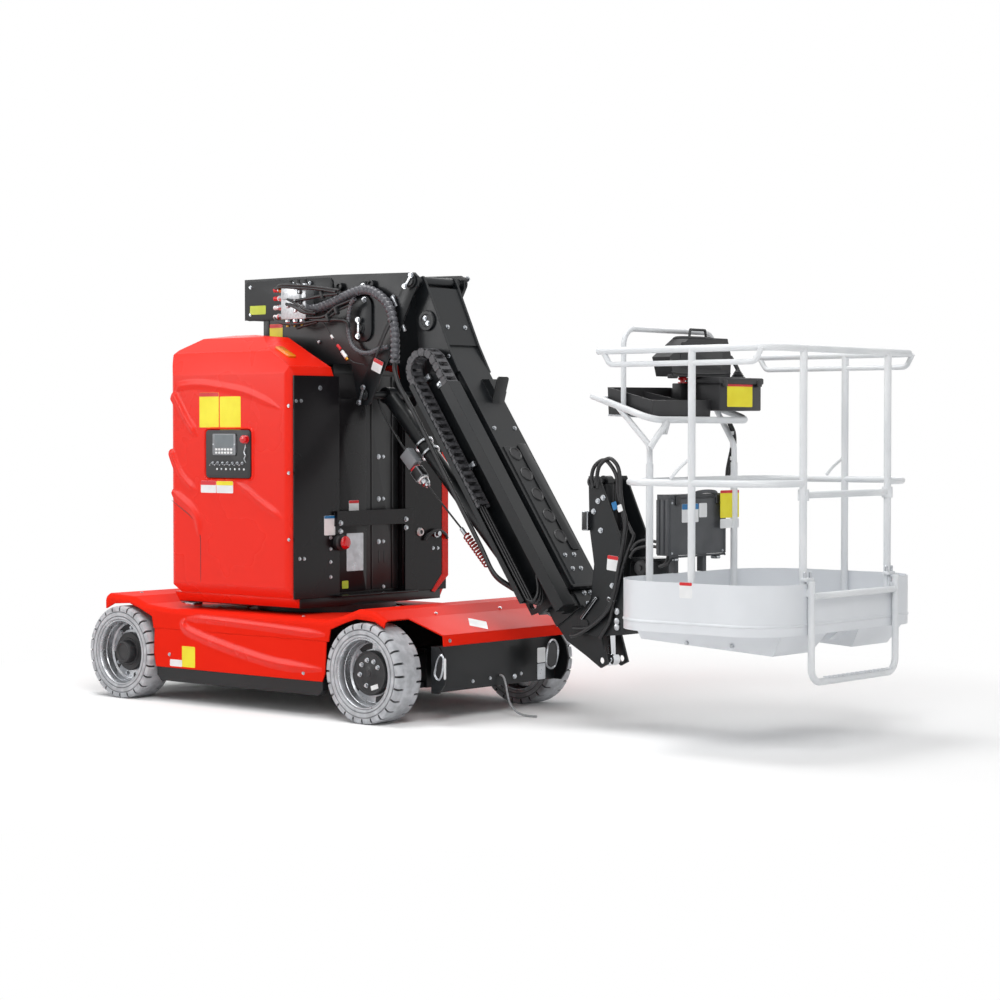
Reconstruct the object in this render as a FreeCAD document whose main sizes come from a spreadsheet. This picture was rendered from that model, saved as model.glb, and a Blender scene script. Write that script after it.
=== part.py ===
"""Vertical mast lift: a battery machine with a telescopic mast, a jib and a work basket.

X runs forward to the basket, Y to the left and Z up, in millimetres.  The origin is on
the floor, in the middle of the machine's length and width.  Places along X are written
from the slewing axis, and each sub-part's Placement adds slew_place, so that the pieces
keep to one another when a size changes.
"""
import FreeCAD, Part
import math
import os
import re
import Sketcher

SIZES = {
    # overall
    "rear_reach": 1080,        # slewing axis to the back of the chassis
    "front_reach": 2990,       # slewing axis to the front of the basket
    "chassis_half": 580,       # half the width over the side covers
    "tyre_face": 600,          # centre plane to the outer face of a tyre
    # wheels
    "axle_place": 805,         # slewing axis to each axle
    "wheel_radius": 222,
    "tyre_width": 150,
    "rim_radius": 158,
    "hub_radius": 62,
    "stub_radius": 32,
    "kingpin_y": 462,
    # chassis
    "deck_top": 446,
    "fender_top": 500,
    "cover_low": 168,
    "sill_low": 102,
    "skin": 5,
    "deck_roll": 28,
    "pod_roll": 45,
    "spine_half": 480,
    "nose_half": 130,
    "tail_half": 300,
    "tray_half": 500,
    "bay_half": 495,           # half the length of the battery bays
    "frame_top": 400,
    "bumper_face": 1062,
    "bumper_low": 140,
    "bumper_high": 345,
    "bumper_half": 425,
    "bumper_nose": 1145,
    "slew_radius": 330,
    "slew_gap": 6,
    # turret
    "turret_low": 482,
    "turret_floor": 520,
    "turret_front": 290,
    "turret_rear": 525,
    "pod_half": 530,
    "pod_inner": 252,
    "pod_front_top": 1578,
    "pod_rear_top": 1660,
    "pod_crest": 1740,
    "plate_thick": 8,
    # mast
    "mast_front": 262,
    "mast_width": 436,
    "mast_wall": 8,
    "mast_gap": 6,
    "mast_low": 534,
    "mast_length": 1030,
    # mast head
    "head_half": 165,
    "head_plate": 12,
    "pivot_x": 705,
    "pivot_z": 1962,
    "pivot_radius": 22,
    "head_top": 2010,
    "head_rear": -387,
    # jib
    "jib_angle": 55.5,
    "jib_half": 100,
    "jib_wall": 8,
    "jib_top": 40,             # pivot to the jib's top face, across it
    "jib_depth": 200,
    "jib_start": 250,
    "jib_end": 1620,
    "slide_gap": 7,
    "inner_end": 1700,
    "chain_radius": 78,
    "chain_width": 60,
    "chain_height": 36,
    "chain_y": 180,            # centre plane to the middle of the chain
    "chain_turn": 430,         # pivot to the chain's loop, along the jib
    "chain_line": 68,          # pivot to the chain's upper run, across the jib
    # jib cylinder
    "lift_base_x": 408,
    "lift_base_z": 1450,
    "lift_eye_u": 1536,
    "lift_eye_n": 312,
    "lift_radius": 37,
    "lift_rod": 25,
    # levelling arm
    "arm_pin_x": 1655,
    "arm_pin_z": 455,
    "arm_top_x": 1692,
    "arm_top_z": 1067,
    "arm_half": 100,
    "arm_plate": 10,
    "level_pin_x": 1725,
    "level_pin_z": 300,
    "level_radius": 34,
    "level_rod_radius": 16,
    "yoke_half": 76,
    # basket
    "swivel_x": 1955,
    "swivel_radius": 70,
    "swivel_low": 470,
    "swivel_high": 730,
    "basket_rear": 2100,
    "basket_length": 825,
    "basket_half": 575,
    "basket_corner": 250,
    "floor_low": 490,
    "toe_top": 690,
    "sheet": 4,
    "rail_top": 1605,
    "rail_radius": 14,
    "post_radius": 15,
    "mid_rail": 1080,
    "entry_half": 310,
    "side_post": 445,          # back of the basket to its middle posts
}

os.makedirs("parts", exist_ok=True)
doc = FreeCAD.newDocument("MastLift")
sheet = doc.addObject("Spreadsheet::Sheet", "Sizes")
for row, (alias, size) in enumerate(SIZES.items(), start=1):
    sheet.set("A%d" % row, alias)
    sheet.set("B%d" % row, str(size))
    sheet.setAlias("B%d" % row, alias)
doc.recompute()

Vector = FreeCAD.Vector
AXES = {"X": Vector(1, 0, 0), "Y": Vector(0, 1, 0), "Z": Vector(0, 0, 1)}
NODES = []
STARTS = {}                    # where each plain block or bar begins


# ---------------------------------------------------------------- helpers

def bound(text):
    """Name the sheet in front of each alias of an expression."""
    return re.sub(r"[a-z]+[a-z_]*_?[a-z]*", lambda word: "Sizes." + word.group(0)
                  if word.group(0) in SIZES else word.group(0), str(text))


def value(text):
    """The number that an expression over the sheet comes to."""
    return float(sheet.evalExpression(bound(text)))


def bind(item, prop, text):
    item.setExpression(prop, bound(text))


def place(item, x="0", y="0", z="0"):
    for letter, text in (("x", x), ("y", y), ("z", z)):
        bind(item, "Placement.Base." + letter, text)
    STARTS[item.Name] = (x, y, z)
    return item


def box(name, x, y, z):
    """A block between two places on each axis, each pair written (low, high)."""
    block = doc.addObject("Part::Box", name)
    for prop, (low, high) in (("Length", x), ("Width", y), ("Height", z)):
        bind(block, prop, "(%s) - (%s)" % (high, low))
    return place(block, x[0], y[0], z[0])


def bar(name, radius, start, length, axis="Z"):
    """A round bar from start along an axis."""
    rod = doc.addObject("Part::Cylinder", name)
    bind(rod, "Radius", radius)
    bind(rod, "Height", length)
    turn = {"X": (AXES["Y"], 90), "Y": (AXES["X"], -90), "Z": (AXES["Z"], 0)}[axis]
    rod.Placement = FreeCAD.Placement(Vector(), FreeCAD.Rotation(*turn))
    return place(rod, *start)


def fuse(name, pieces):
    joined = doc.addObject("Part::MultiFuse", name)
    joined.Shapes = pieces
    joined.Refine = True
    return joined


def cut(name, base, tools):
    taken = doc.addObject("Part::Cut", name)
    taken.Base = base
    taken.Tool = tools[0] if len(tools) == 1 else fuse(name + "_tools", tools)
    taken.Refine = True
    return taken


def rounded(name, item, radius, wanted):
    """Round those edges of a piece whose middle and direction wanted() accepts."""
    doc.recompute()
    size = value(radius)
    picked = []
    for index, edge in enumerate(item.Shape.Edges, start=1):
        middle = edge.valueAt((edge.FirstParameter + edge.LastParameter) / 2)
        if wanted(middle, edge.tangentAt(edge.FirstParameter)):
            picked.append((index, size, size))
    soft = doc.addObject("Part::Fillet", name)
    soft.Base = item
    soft.Edges = picked
    return soft


def sketch_on(body, role, points, offset="0"):
    """A closed outline on one of the body's planes, each corner tied to the sheet."""
    plane = [item for item in body.Origin.OriginFeatures if item.Role == role][0]
    sketch = body.newObject("Sketcher::SketchObject", body.Name + "_outline")
    sketch.AttachmentSupport = [(plane, "")]
    sketch.MapMode = "FlatFace"
    bind(sketch, "AttachmentOffset.Base.z", offset)
    corners = [(value(across), value(up)) for across, up in points]
    count = len(corners)
    for index, start in enumerate(corners):
        end = corners[(index + 1) % count]
        sketch.addGeometry(Part.LineSegment(Vector(*start, 0), Vector(*end, 0)), False)
    for index in range(count):
        sketch.addConstraint(Sketcher.Constraint("Coincident", index, 2, (index + 1) % count, 1))
    for index, (corner, texts) in enumerate(zip(corners, points)):
        for kind, size, text in zip(("DistanceX", "DistanceY"), corner, texts):
            mark = sketch.addConstraint(Sketcher.Constraint(kind, -1, 1, index, 1, size))
            bind(sketch, "Constraints[%d]" % mark, text)
    return sketch


def plate(name, plane, points, low, high):
    """An outline on XY, XZ or YZ, padded from low to high along the third axis."""
    body = doc.addObject("PartDesign::Body", name)
    away = "-(%s)" % high if plane == "XZ" else low
    sketch = sketch_on(body, plane + "_Plane", points, away)
    pad = body.newObject("PartDesign::Pad", name + "_pad")
    pad.Profile = sketch
    bind(pad, "Length", "(%s) - (%s)" % (high, low))
    return body


def turned(name, points):
    """A profile (along Y, out from the axis) turned about the Y axis."""
    body = doc.addObject("PartDesign::Body", name)
    sketch = sketch_on(body, "YZ_Plane", points)
    ring = body.newObject("PartDesign::Revolution", name + "_turn")
    ring.Profile = sketch
    ring.ReferenceAxis = (sketch, ["H_Axis"])
    ring.Angle = 360
    return body


def route(points, bend):
    """A path of straight runs joined by tangent arcs of one radius, or a radius each."""
    points = [Vector(*point) for point in points]
    bends = bend if isinstance(bend, (list, tuple)) else [bend] * (len(points) - 2)
    edges = []
    start = points[0]
    for before, corner, after, radius in zip(points, points[1:], points[2:], bends):
        back = (before - corner).normalize()
        ahead = (after - corner).normalize()
        half = math.acos(max(-1, min(1, back.dot(ahead)))) / 2
        reach = radius / math.tan(half)
        first = corner + back * reach
        last = corner + ahead * reach
        middle = corner + (back + ahead).normalize() * (radius / math.sin(half) - radius)
        if (first - start).Length > 0.001:
            edges.append(Part.makeLine(start, first))
        edges.append(Part.Arc(first, middle, last).toShape())
        start = last
    edges.append(Part.makeLine(start, points[-1]))
    return Part.Wire(edges)


def swept(points, bend, radius):
    """A round solid tube along a route."""
    path = route(points, bend)
    first = path.Edges[0]
    start = first.Vertexes[0].Point
    ahead = first.tangentAt(first.FirstParameter)
    ring = Part.Wire([Part.makeCircle(radius, start, ahead)])
    return path.makePipeShell([ring], True, True)


def shape_feature(name, shape):
    item = doc.addObject("Part::Feature", name)
    item.Shape = shape
    STARTS[item.Name] = tuple("%.6f" % part for part in item.Placement.Base)
    return item


def node(item, label, x="0", y="0", z="0", turn=None):
    """Name a finished sub-part and put it at its place from the slewing axis."""
    item.Label = label
    if turn is not None:
        item.Placement = FreeCAD.Placement(Vector(), FreeCAD.Rotation(AXES["Y"], value(turn)))
        bind(item, "Placement.Rotation.Angle", turn)
    begin = STARTS.get(item.Name, ("0", "0", "0"))
    place(item, "%s + (%s) + (%s)" % (SLEW, x, begin[0]), "(%s) + (%s)" % (y, begin[1]),
          "(%s) + (%s)" % (z, begin[2]))
    NODES.append(item)
    return item


# The slewing axis lies this far from the origin, so that the length is halved there.
SLEW = "(rear_reach - front_reach) / 2"


# ---------------------------------------------------------------- wheels and axles

def wheel(corner, front, side):
    """A solid tyre and its dished rim.  side is -1 on the right and 1 on the left."""
    across = "%d * " % side
    centre_y = across + "(tyre_face - tyre_width / 2)"
    along = ("" if front else "-") + "axle_place"
    half = "tyre_width / 2"
    tyre = turned("tyre_" + corner + "_body", [
        (across + "(%s - 8)" % half, "rim_radius"),
        (across + "(%s)" % half, "rim_radius + 16"),
        (across + "(%s)" % half, "wheel_radius - 14"),
        (across + "(%s - 14)" % half, "wheel_radius"),
        ("-" + across + "(%s - 14)" % half, "wheel_radius"),
        ("-" + across + "(%s)" % half, "wheel_radius - 14"),
        ("-" + across + "(%s)" % half, "rim_radius + 16"),
        ("-" + across + "(%s - 8)" % half, "rim_radius")])
    rim = turned("rim_" + corner + "_body", [
        (across + "(%s - 8)" % half, "rim_radius"),
        (across + "(%s - 8)" % half, "rim_radius - 10"),
        (across + "22", "rim_radius - 22"),
        (across + "12", "hub_radius + 20"),
        (across + "30", "hub_radius"),
        (across + "34", "0"),
        (across + "-4", "0"),
        (across + "-4", "stub_radius + 0.5"),
        (across + "-30", "stub_radius + 0.5"),
        (across + "-30", "hub_radius"),
        (across + "0", "hub_radius + 20"),
        (across + "8", "rim_radius - 26"),
        (across + "(8 - %s)" % half, "rim_radius - 10"),
        (across + "(8 - %s)" % half, "rim_radius")])
    node(tyre, "tyre_" + corner, along, centre_y, "wheel_radius")
    node(rim, "rim_" + corner, along, centre_y, "wheel_radius")


def knuckle(name, side):
    """A kingpin carrier with the stub that a front wheel turns on."""
    sign = "%d * " % side
    inner = "%s(kingpin_y)" % sign
    face = "(tyre_face - tyre_width / 2)"
    post = bar(name + "_post", "26", ("axle_place", inner, "wheel_radius - 64.7"), "129.4")
    length = "%s - 5 - kingpin_y" % face
    start = "kingpin_y" if side > 0 else "-(%s - 5)" % face
    stub = bar(name + "_stub", "stub_radius", ("axle_place", start, "wheel_radius"), length, "Y")
    node(fuse(name + "_all", [post, stub]), name)


def front_axle():
    """The beam across the front, forked above and below each knuckle."""
    low = "wheel_radius - 88"
    high = "wheel_radius + 88"
    tips = []
    for side in (-1, 1):
        sign = "%d * " % side
        y_pair = (sign + "(nose_half + 5)", sign + "(kingpin_y + 22)")
        y_pair = y_pair if side > 0 else y_pair[::-1]
        for index, (bottom, top) in enumerate(((low, "wheel_radius - 65"),
                                               ("wheel_radius + 65", high))):
            tips.append(box("fork_%d_%d" % (side, index), ("axle_place - 24", "axle_place + 24"),
                            y_pair, (bottom, top)))
        y_web = (sign + "nose_half", sign + "(nose_half + 90)")
        y_web = y_web if side > 0 else y_web[::-1]
        tips.append(box("fork_web_%d" % side, ("axle_place - 38", "axle_place + 38"), y_web,
                        (low, high)))
    node(fuse("front_axle_all", tips), "front_axle")


def rear_axle():
    """The fixed beam at the back, with a stub for each rear wheel."""
    beam = box("rear_beam", ("-axle_place - 45", "-axle_place + 45"),
               ("-(tyre_face - tyre_width - 20)", "tyre_face - tyre_width - 20"),
               ("wheel_radius - 45", "wheel_radius + 45"))
    reach = "tyre_face - tyre_width / 2 - 5"
    stub = bar("rear_stub", "stub_radius", ("-axle_place", "-(%s)" % reach, "wheel_radius"),
               "2 * (%s)" % reach, "Y")
    node(fuse("rear_axle_all", [beam, stub]), "rear_axle")


# ---------------------------------------------------------------- chassis

def chassis_frame():
    """A welded spine with a narrow nose and tail, side trays and the slewing plate."""
    wide = "spine_half"
    spine = plate("frame_spine", "XY", [
        ("-rear_reach + 30", "-tail_half"), ("-bay_half", "-tail_half"),
        ("-bay_half", "-" + wide), ("bay_half", "-" + wide),
        ("bay_half", "-nose_half"), ("bumper_face - 10", "-nose_half"),
        ("bumper_face - 10", "nose_half"), ("bay_half", "nose_half"),
        ("bay_half", wide), ("-bay_half", wide),
        ("-bay_half", "tail_half"), ("-rear_reach + 30", "tail_half")],
        "cover_low", "frame_top")
    tray = box("frame_tray", ("-bay_half - 4", "bay_half + 4"), ("-tray_half - 30", "tray_half + 30"),
               ("cover_low - 8", "cover_low + 4"))
    ring = bar("frame_ring", "slew_radius + 40", ("0", "0", "frame_top - 10"),
               "deck_top - frame_top + 6")
    slot = box("frame_slot", ("-axle_place - 46", "-axle_place + 46"), ("-tail_half - 1", "tail_half + 1"),
               ("wheel_radius - 60", "wheel_radius + 45"))
    posts = [box("frame_riser_%d" % index, (start, start + " + 60"),
                 ("-spine_half + 20", "spine_half - 20"), ("frame_top - 1", "deck_top - skin"))
             for index, start in enumerate(("-bay_half + 12", "bay_half - 80"))]
    body = cut("frame_cut", fuse("frame_all", [spine, tray, ring] + posts), [slot])
    node(body, "chassis_frame")


def battery_blocks():
    """Batteries that stand low inside the side pods."""
    blocks = [box("battery_%d" % side, ("-turret_rear + 90", "turret_front - 60"),
                  ("pod_inner + 20", "pod_half - 60") if side > 0 else
                  ("-pod_half + 60", "-pod_inner - 20"),
                  ("turret_floor", "turret_floor + 420")) for side in (-1, 1)]
    node(fuse("battery_all", blocks), "battery_packs")


def hull(name, inset, low):
    """The red cover's outside drawn in by an inset, with its long top edges rounded."""
    line = [("-axle_place - 122", "fender_top - 6"), ("-axle_place - 112", "fender_top"),
            ("-axle_place + 60", "fender_top - 8"), ("-axle_place + 155", "deck_top + 14"),
            ("-axle_place + 320", "deck_top"), ("axle_place - 235", "deck_top"),
            ("axle_place - 155", "deck_top + 20"), ("axle_place - 55", "fender_top"),
            ("axle_place + 40", "fender_top - 4"), ("axle_place + 115", "fender_top - 38"),
            ("bumper_face + 65", "bumper_high + 52"), ("bumper_face + 70", "bumper_high + 4")]
    top = [(along, "%s - %s" % (up, inset)) for along, up in line]
    top[-1] = ("bumper_face + 70 - %s" % inset, low)
    top[-2] = ("bumper_face + 65 - %s" % inset, "bumper_high + 52 - 0.8 * %s" % inset)
    block = plate(name, "XZ", top + [("-axle_place - 122", low)], "-chassis_half + %s" % inset,
                  "chassis_half - %s" % inset)
    edge = value("chassis_half - %s" % inset)
    return rounded(name + "_rounded", block, "deck_roll - %s" % inset,
                   lambda middle, way: abs(abs(middle.y) - edge) < 0.1 and abs(way.z) < 0.99
                   and middle.z > value("bumper_high") + 30)


def deck_cover():
    """The red cover over the chassis: a skin with rolled edges, raised over the wheels."""
    skin = cut("deck_skin", hull("deck_outside", "0", "bumper_high + 4"),
               [hull("deck_inside", "skin", "bumper_high - 20")])
    opening = bar("deck_hole", "slew_radius + 45", ("0", "0", "deck_top - 40"), "120")
    tools = [opening]
    for side in (-1, 1):
        pair = ("bumper_half", "chassis_half + 1") if side > 0 else ("-chassis_half - 1", "-bumper_half")
        tools.append(box("deck_corner_%d" % side, ("axle_place + 118", "bumper_nose + 40"), pair,
                         ("bumper_low", "fender_top + 50")))
        skirt = ("chassis_half - skin - 1", "chassis_half + 1") if side > 0 else \
            ("-chassis_half - 1", "-chassis_half + skin + 1")
        for index, start in enumerate(("-axle_place", "axle_place")):
            # Each arch is open towards the near end of the machine and steep towards its middle.
            inward = 1 if index == 0 else -1
            line = [(330, "bumper_high - 30"), (-230, "bumper_high - 30"), (-211, "deck_top - 42"),
                    (-122, "deck_top - 8"), (-50, "deck_top + 13"), (60, "deck_top + 6"),
                    (116, "deck_top - 19"), (330, "deck_top - 21")]
            tools.append(plate("deck_arch_%d_%d" % (side, index), "XZ", [
                ("%s - %d" % (start, away * inward), up) for away, up in line], *skirt))
    node(cut("deck_all", skin, tools), "deck_cover")


def side_cover(name, side):
    """The red side panel between the wheels."""
    low, high = ("chassis_half - skin", "chassis_half")
    if side < 0:
        low, high = "-chassis_half", "-chassis_half + skin"
    panel = plate(name + "_panel", "XZ", [
        ("-axle_place + 240", "cover_low"), ("axle_place - 262", "cover_low"),
        ("axle_place - 245", "cover_low + 40"), ("axle_place - 236", "bumper_high + 4"),
        ("-axle_place + 230", "bumper_high + 4"), ("-axle_place + 225", "cover_low + 60")],
        low, high)
    node(panel, name)


def side_sills():
    """The black sills under the side panels, with the feet that hold them."""
    parts = []
    for side in (-1, 1):
        pair = ("tray_half + 30", "chassis_half - 12") if side > 0 else \
            ("-chassis_half + 12", "-tray_half - 30")
        parts.append(plate("sill_%d" % side, "XZ", [
            ("-axle_place + 235", "sill_low + 26"), ("-axle_place + 262", "sill_low"),
            ("axle_place - 300", "sill_low"), ("axle_place - 270", "sill_low + 26"),
            ("axle_place - 270", "cover_low"), ("-axle_place + 235", "cover_low")],
            *pair))
    node(fuse("sills_all", parts), "side_sills")


def front_bumper():
    """A flat black face between two rounded side plates."""
    face = box("bumper_plate", ("bumper_face - 10", "bumper_face"), ("-bumper_half + 9", "bumper_half - 9"),
               ("bumper_low", "bumper_high"))
    ends = []
    middle = "(bumper_low + bumper_high) / 2"
    for side in (-1, 1):
        pair = ("bumper_half - 10", "bumper_half") if side > 0 else ("-bumper_half", "-bumper_half + 10")
        ends.append(plate("bumper_end_%d" % side, "XZ", [
            ("bumper_face - 6", "bumper_low"), ("bumper_nose - 45", "bumper_low"),
            ("bumper_nose - 14", middle + " - 62"), ("bumper_nose", middle),
            ("bumper_nose - 14", middle + " + 62"), ("bumper_nose - 45", "bumper_high"),
            ("bumper_face - 6", "bumper_high")], *pair))
    node(fuse("bumper_all", [face] + ends), "front_bumper")


def earth_strap():
    """The strap that trails on the floor from a bolt under the bumper."""
    face, foot = value("bumper_face"), 5.2
    points = [(face, 30, 186), (face + 14, 30, 186), (face + 26, 31, 170), (face + 33, 34, 136), (face + 37, 38, 100),
              (face + 43, 44, 64), (face + 60, 54, 32), (face + 88, 68, 12), (face + 124, 84, foot),
              (face + 160, 98, foot)]
    bends = []
    for before, corner, after in zip(points, points[1:], points[2:]):
        back, ahead = Vector(*before) - Vector(*corner), Vector(*after) - Vector(*corner)
        turn = math.pi - back.getAngle(ahead)
        bends.append(0.45 * min(back.Length, ahead.Length) / math.tan(turn / 2))
    print("strap radii", [round(bend) for bend in bends])
    tube = swept(points, bends, 5)
    node(shape_feature("strap_body", tube), "earth_strap")


def rear_bumper():
    face = box("rear_plate", ("-rear_reach", "-rear_reach + 30"), ("-tail_half - 60", "tail_half + 60"),
               ("bumper_low", "deck_top - 40"))
    node(face, "rear_bumper")


def slew_ring():
    node(bar("slew_ring_body", "slew_radius", ("0", "0", "deck_top - 4"),
             "turret_low - deck_top + 4 - slew_gap"), "slew_ring")


# ---------------------------------------------------------------- turret

def turret_base():
    base = box("turret_floor_plate", ("-turret_rear + 10", "turret_front - 2"),
               ("-pod_half + 20", "pod_half - 20"), ("turret_low + 14", "turret_floor"))
    hub = bar("turret_hub", "slew_radius - 30", ("0", "0", "turret_low - slew_gap + 0.5"), "30")
    node(fuse("turret_base_all", [base, hub]), "turret_base")


def pod_block(name, side, inset, low):
    """The pod's outside drawn in by an inset: a crowned roof and sloped corners."""
    outer, inner = "(pod_half - %s)" % inset, "(pod_inner + %s)" % inset
    rear, front = "(-turret_rear + %s)" % inset, "(turret_front + 5 - %s)" % inset
    crest = "(pod_crest - %s)" % inset
    sign = "%d * " % side
    section = plate(name + "_section", "YZ", [
        (sign + inner, low), (sign + "(%s - 30)" % outer, low),
        (sign + outer, "turret_floor + 50"), (sign + outer, "pod_front_top - 30"),
        (sign + "(%s - 30)" % outer, "pod_rear_top - 10"),
        (sign + "(%s - 110)" % outer, crest + " - 20"), (sign + inner, crest)],
        "-turret_rear", "turret_front + 10")
    pair = (inner, outer) if side > 0 else ("-" + outer, "-" + inner)
    profile = plate(name + "_profile", "XZ", [
        (rear + " + 60", low), (front, low), (front, "pod_front_top - 40"),
        (front + " - 17", "pod_front_top"), (front + " - 155", "pod_front_top + 70"), ("0", crest + " - 18"),
        (rear + " + 300", crest), (rear + " + 165", crest), (rear + " + 22", "pod_rear_top + 8"),
        (rear, "pod_rear_top - 22"), (rear, "turret_floor + 60")], *pair)
    face = value(outer)
    plan = rounded(name + "_plan", box(name + "_block", (rear, front), pair, (low, "pod_crest + 10")),
                   "pod_roll - %s" % inset,
                   lambda middle, way: abs(abs(middle.y) - face) < 0.1 and abs(way.z) > 0.99)
    both = doc.addObject("Part::MultiCommon", name + "_common")
    both.Shapes = [section, profile, plan]
    return both


def pod(name, side):
    """A red side pod: a shell with a crowned roof, open below."""
    outside = pod_block(name + "_outside", side, "0", "turret_floor")
    inside = pod_block(name + "_inside", side, "skin", "turret_floor - 1")
    node(cut(name + "_shell", outside, [inside]), name)


def rear_cover():
    panel = plate("rear_cover_panel", "XZ", [
        ("-turret_rear + 30", "turret_floor"), ("-turret_rear + 36", "turret_floor"),
        ("-turret_rear + 36", "pod_rear_top - 120"), ("-turret_rear + 110", "pod_rear_top - 70"),
        ("-turret_rear + 110", "pod_rear_top - 64"), ("-turret_rear + 30", "pod_rear_top - 116")],
        "-pod_inner", "pod_inner")
    node(panel, "rear_cover")


def counterweight():
    node(box("weight", ("-turret_rear + 60", "mast_front - mast_width - 30"),
             ("-pod_inner + 10", "pod_inner - 10"), ("turret_floor", "1150")), "counterweight")


def front_plates():
    """Black panels on the front of the turret, either side of the mast."""
    parts = []
    for side in (-1, 1):
        pair = ("mast_width / 2 + 6", "pod_half - 16") if side > 0 else \
            ("-pod_half + 16", "-mast_width / 2 - 6")
        parts.append(box("front_plate_%d" % side, ("turret_front + 5", "turret_front + 5 + plate_thick"),
                         pair, ("turret_floor", "pod_front_top - 42")))
    parts.append(box("cross_bar_beam", ("turret_front + 16", "turret_front + 34"),
                     ("-mast_width / 2 - 40", "mast_width / 2 + 40"), ("845", "915")))
    for side in (-1, 1):
        parts.append(box("cross_foot_%d" % side, ("turret_front + 5", "turret_front + 17"),
                         ("mast_width / 2 + 8", "mast_width / 2 + 40") if side > 0 else
                         ("-mast_width / 2 - 40", "-mast_width / 2 - 8"), ("845", "915")))
    node(fuse("front_plates_all", parts), "front_plates")


def ground_panel():
    node(box("panel_box", ("-275", "50"), ("-pod_half - 6", "-pod_half"), ("1065", "1295")),
         "ground_panel")


def stop_button():
    collar = bar("stop_collar", "38", ("turret_front + 5 + plate_thick", "-230", "770"), "34", "X")
    cap = bar("stop_cap", "28", ("turret_front + 40", "-230", "770"), "30", "X")
    node(fuse("stop_all", [collar, cap]), "stop_button")


# ---------------------------------------------------------------- mast

STAGES = 6


def mast_section(index, length, low):
    """A square tube, smaller by one wall and one gap a side for each step inwards."""
    step = "%d * (mast_wall + mast_gap)" % index
    front, rear = "mast_front - (%s)" % step, "mast_front - mast_width + (%s)" % step
    half = "mast_width / 2 - (%s)" % step
    outer = box("mast_out_%d" % index, (rear, front), ("-(%s)" % half, half), (low, "%s + %s" % (low, length)))
    hollow = box("mast_in_%d" % index, ("%s + mast_wall" % rear, "%s - mast_wall" % front),
                 ("-(%s) + mast_wall" % half, "%s - mast_wall" % half),
                 ("%s - 1" % low, "%s + %s + 1" % (low, length)))
    tube = cut("mast_tube_%d" % index, outer, [hollow])
    if index == 0:
        return tube
    pad = box("mast_pad_%d" % index, ("%s - mast_gap + 0.5" % rear, "%s + mast_gap - 0.5" % front),
              ("-(%s) - mast_gap + 0.5" % half, "%s + mast_gap - 0.5" % half),
              (low, "%s + 50" % low))
    core = box("mast_core_%d" % index, (rear, front), ("-(%s)" % half, half),
               ("%s - 1" % low, "%s + 51" % low))
    return fuse("mast_whole_%d" % index, [tube, cut("mast_ring_%d" % index, pad, [core])])


def mast():
    node(mast_section(0, "mast_length", "turret_floor"), "mast_column")
    for index in range(1, STAGES + 1):
        node(mast_section(index, "mast_length", "mast_low + %d" % (6 * (index - 1))),
             "mast_stage_%d" % index)


def mast_head():
    """Two side plates on the top stage that reach forward to the jib's pivot."""
    step = "%d * (mast_wall + mast_gap)" % STAGES
    rear = "mast_front - mast_width + (%s)" % step
    top = "mast_low + %d + mast_length" % (6 * (STAGES - 1))
    parts = []
    for side in (-1, 1):
        pair = ("head_half - head_plate", "head_half") if side > 0 else ("-head_half", "-head_half + head_plate")
        parts.append(plate("head_cheek_%d" % side, "XZ", [
            (rear, top), ("mast_front + 62", top), ("lift_base_x - 48", "lift_base_z - 8"),
            ("lift_base_x - 30", "lift_base_z - 46"), ("lift_base_x + 30", "lift_base_z - 46"),
            ("lift_base_x + 50", "lift_base_z"), ("pivot_x - 70", "pivot_z - 190"),
            ("pivot_x + 34", "pivot_z - 22"), ("pivot_x + 34", "pivot_z + 20"),
            ("pivot_x + 12", "pivot_z + 38"), ("mast_front - 30", "head_top"),
            ("head_rear", "head_top"), ("head_rear", "head_top - 195"),
            ("head_rear + 130", "head_top - 200"), ("head_rear + 130", "head_top - 365"),
            (rear, "head_top - 365")], *pair))
    for name, x, z, radius in (("pivot", "pivot_x", "pivot_z", "pivot_radius"),
                               ("base", "lift_base_x", "lift_base_z", "18.5")):
        parts.append(bar("head_pin_" + name, radius, (x, "-head_half - 8", z), "2 * head_half + 16", "Y"))
    cap = box("head_cap", (rear, "mast_front - (%s)" % step), ("-head_half + 1", "head_half - 1"),
              (top, "%s + 14" % top))
    back = box("head_back", ("head_rear", "head_rear + 10"),
               ("-head_half + 1", "head_half - 1"), ("head_top - 195", "head_top"))
    roof = box("head_roof", ("head_rear", "mast_front - 40"),
               ("-head_half + 1", "head_half - 1"), ("head_top - 10", "head_top"))
    node(fuse("mast_head_all", parts + [cap, back, roof]), "mast_head")


def valve_block():
    node(box("valve_body", ("-77", "86"), ("-head_half - 62", "-head_half"), ("1808", "1967")),
         "valve_block")


def head_hose():
    """The wrapped hose bundle that arches from the valves to the jib."""
    y = -value("head_half") - 31
    points = [(86, y, 1852), (150, y, 1852), (290, y, 1896), (400, y, 1928), (490, y, 1918), (585, y, 1862),
              (622, y, 1765), (630, y, 1690), (627, y, 1585)]
    node(shape_feature("head_hose_body", swept(points, 60, 19)), "head_hose")


# ---------------------------------------------------------------- jib cylinder

def along_lift():
    """The jib cylinder's rest angle below the horizontal, and its length."""
    angle = math.radians(value("jib_angle"))
    eye_x = value("pivot_x + lift_eye_u * cos(jib_angle * 1 deg) - lift_eye_n * sin(jib_angle * 1 deg)")
    eye_z = value("pivot_z - lift_eye_u * sin(jib_angle * 1 deg) - lift_eye_n * cos(jib_angle * 1 deg)")
    run = eye_x - value("lift_base_x")
    drop = value("lift_base_z") - eye_z
    del angle
    return math.degrees(math.atan2(drop, run)), math.hypot(run, drop)


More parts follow.
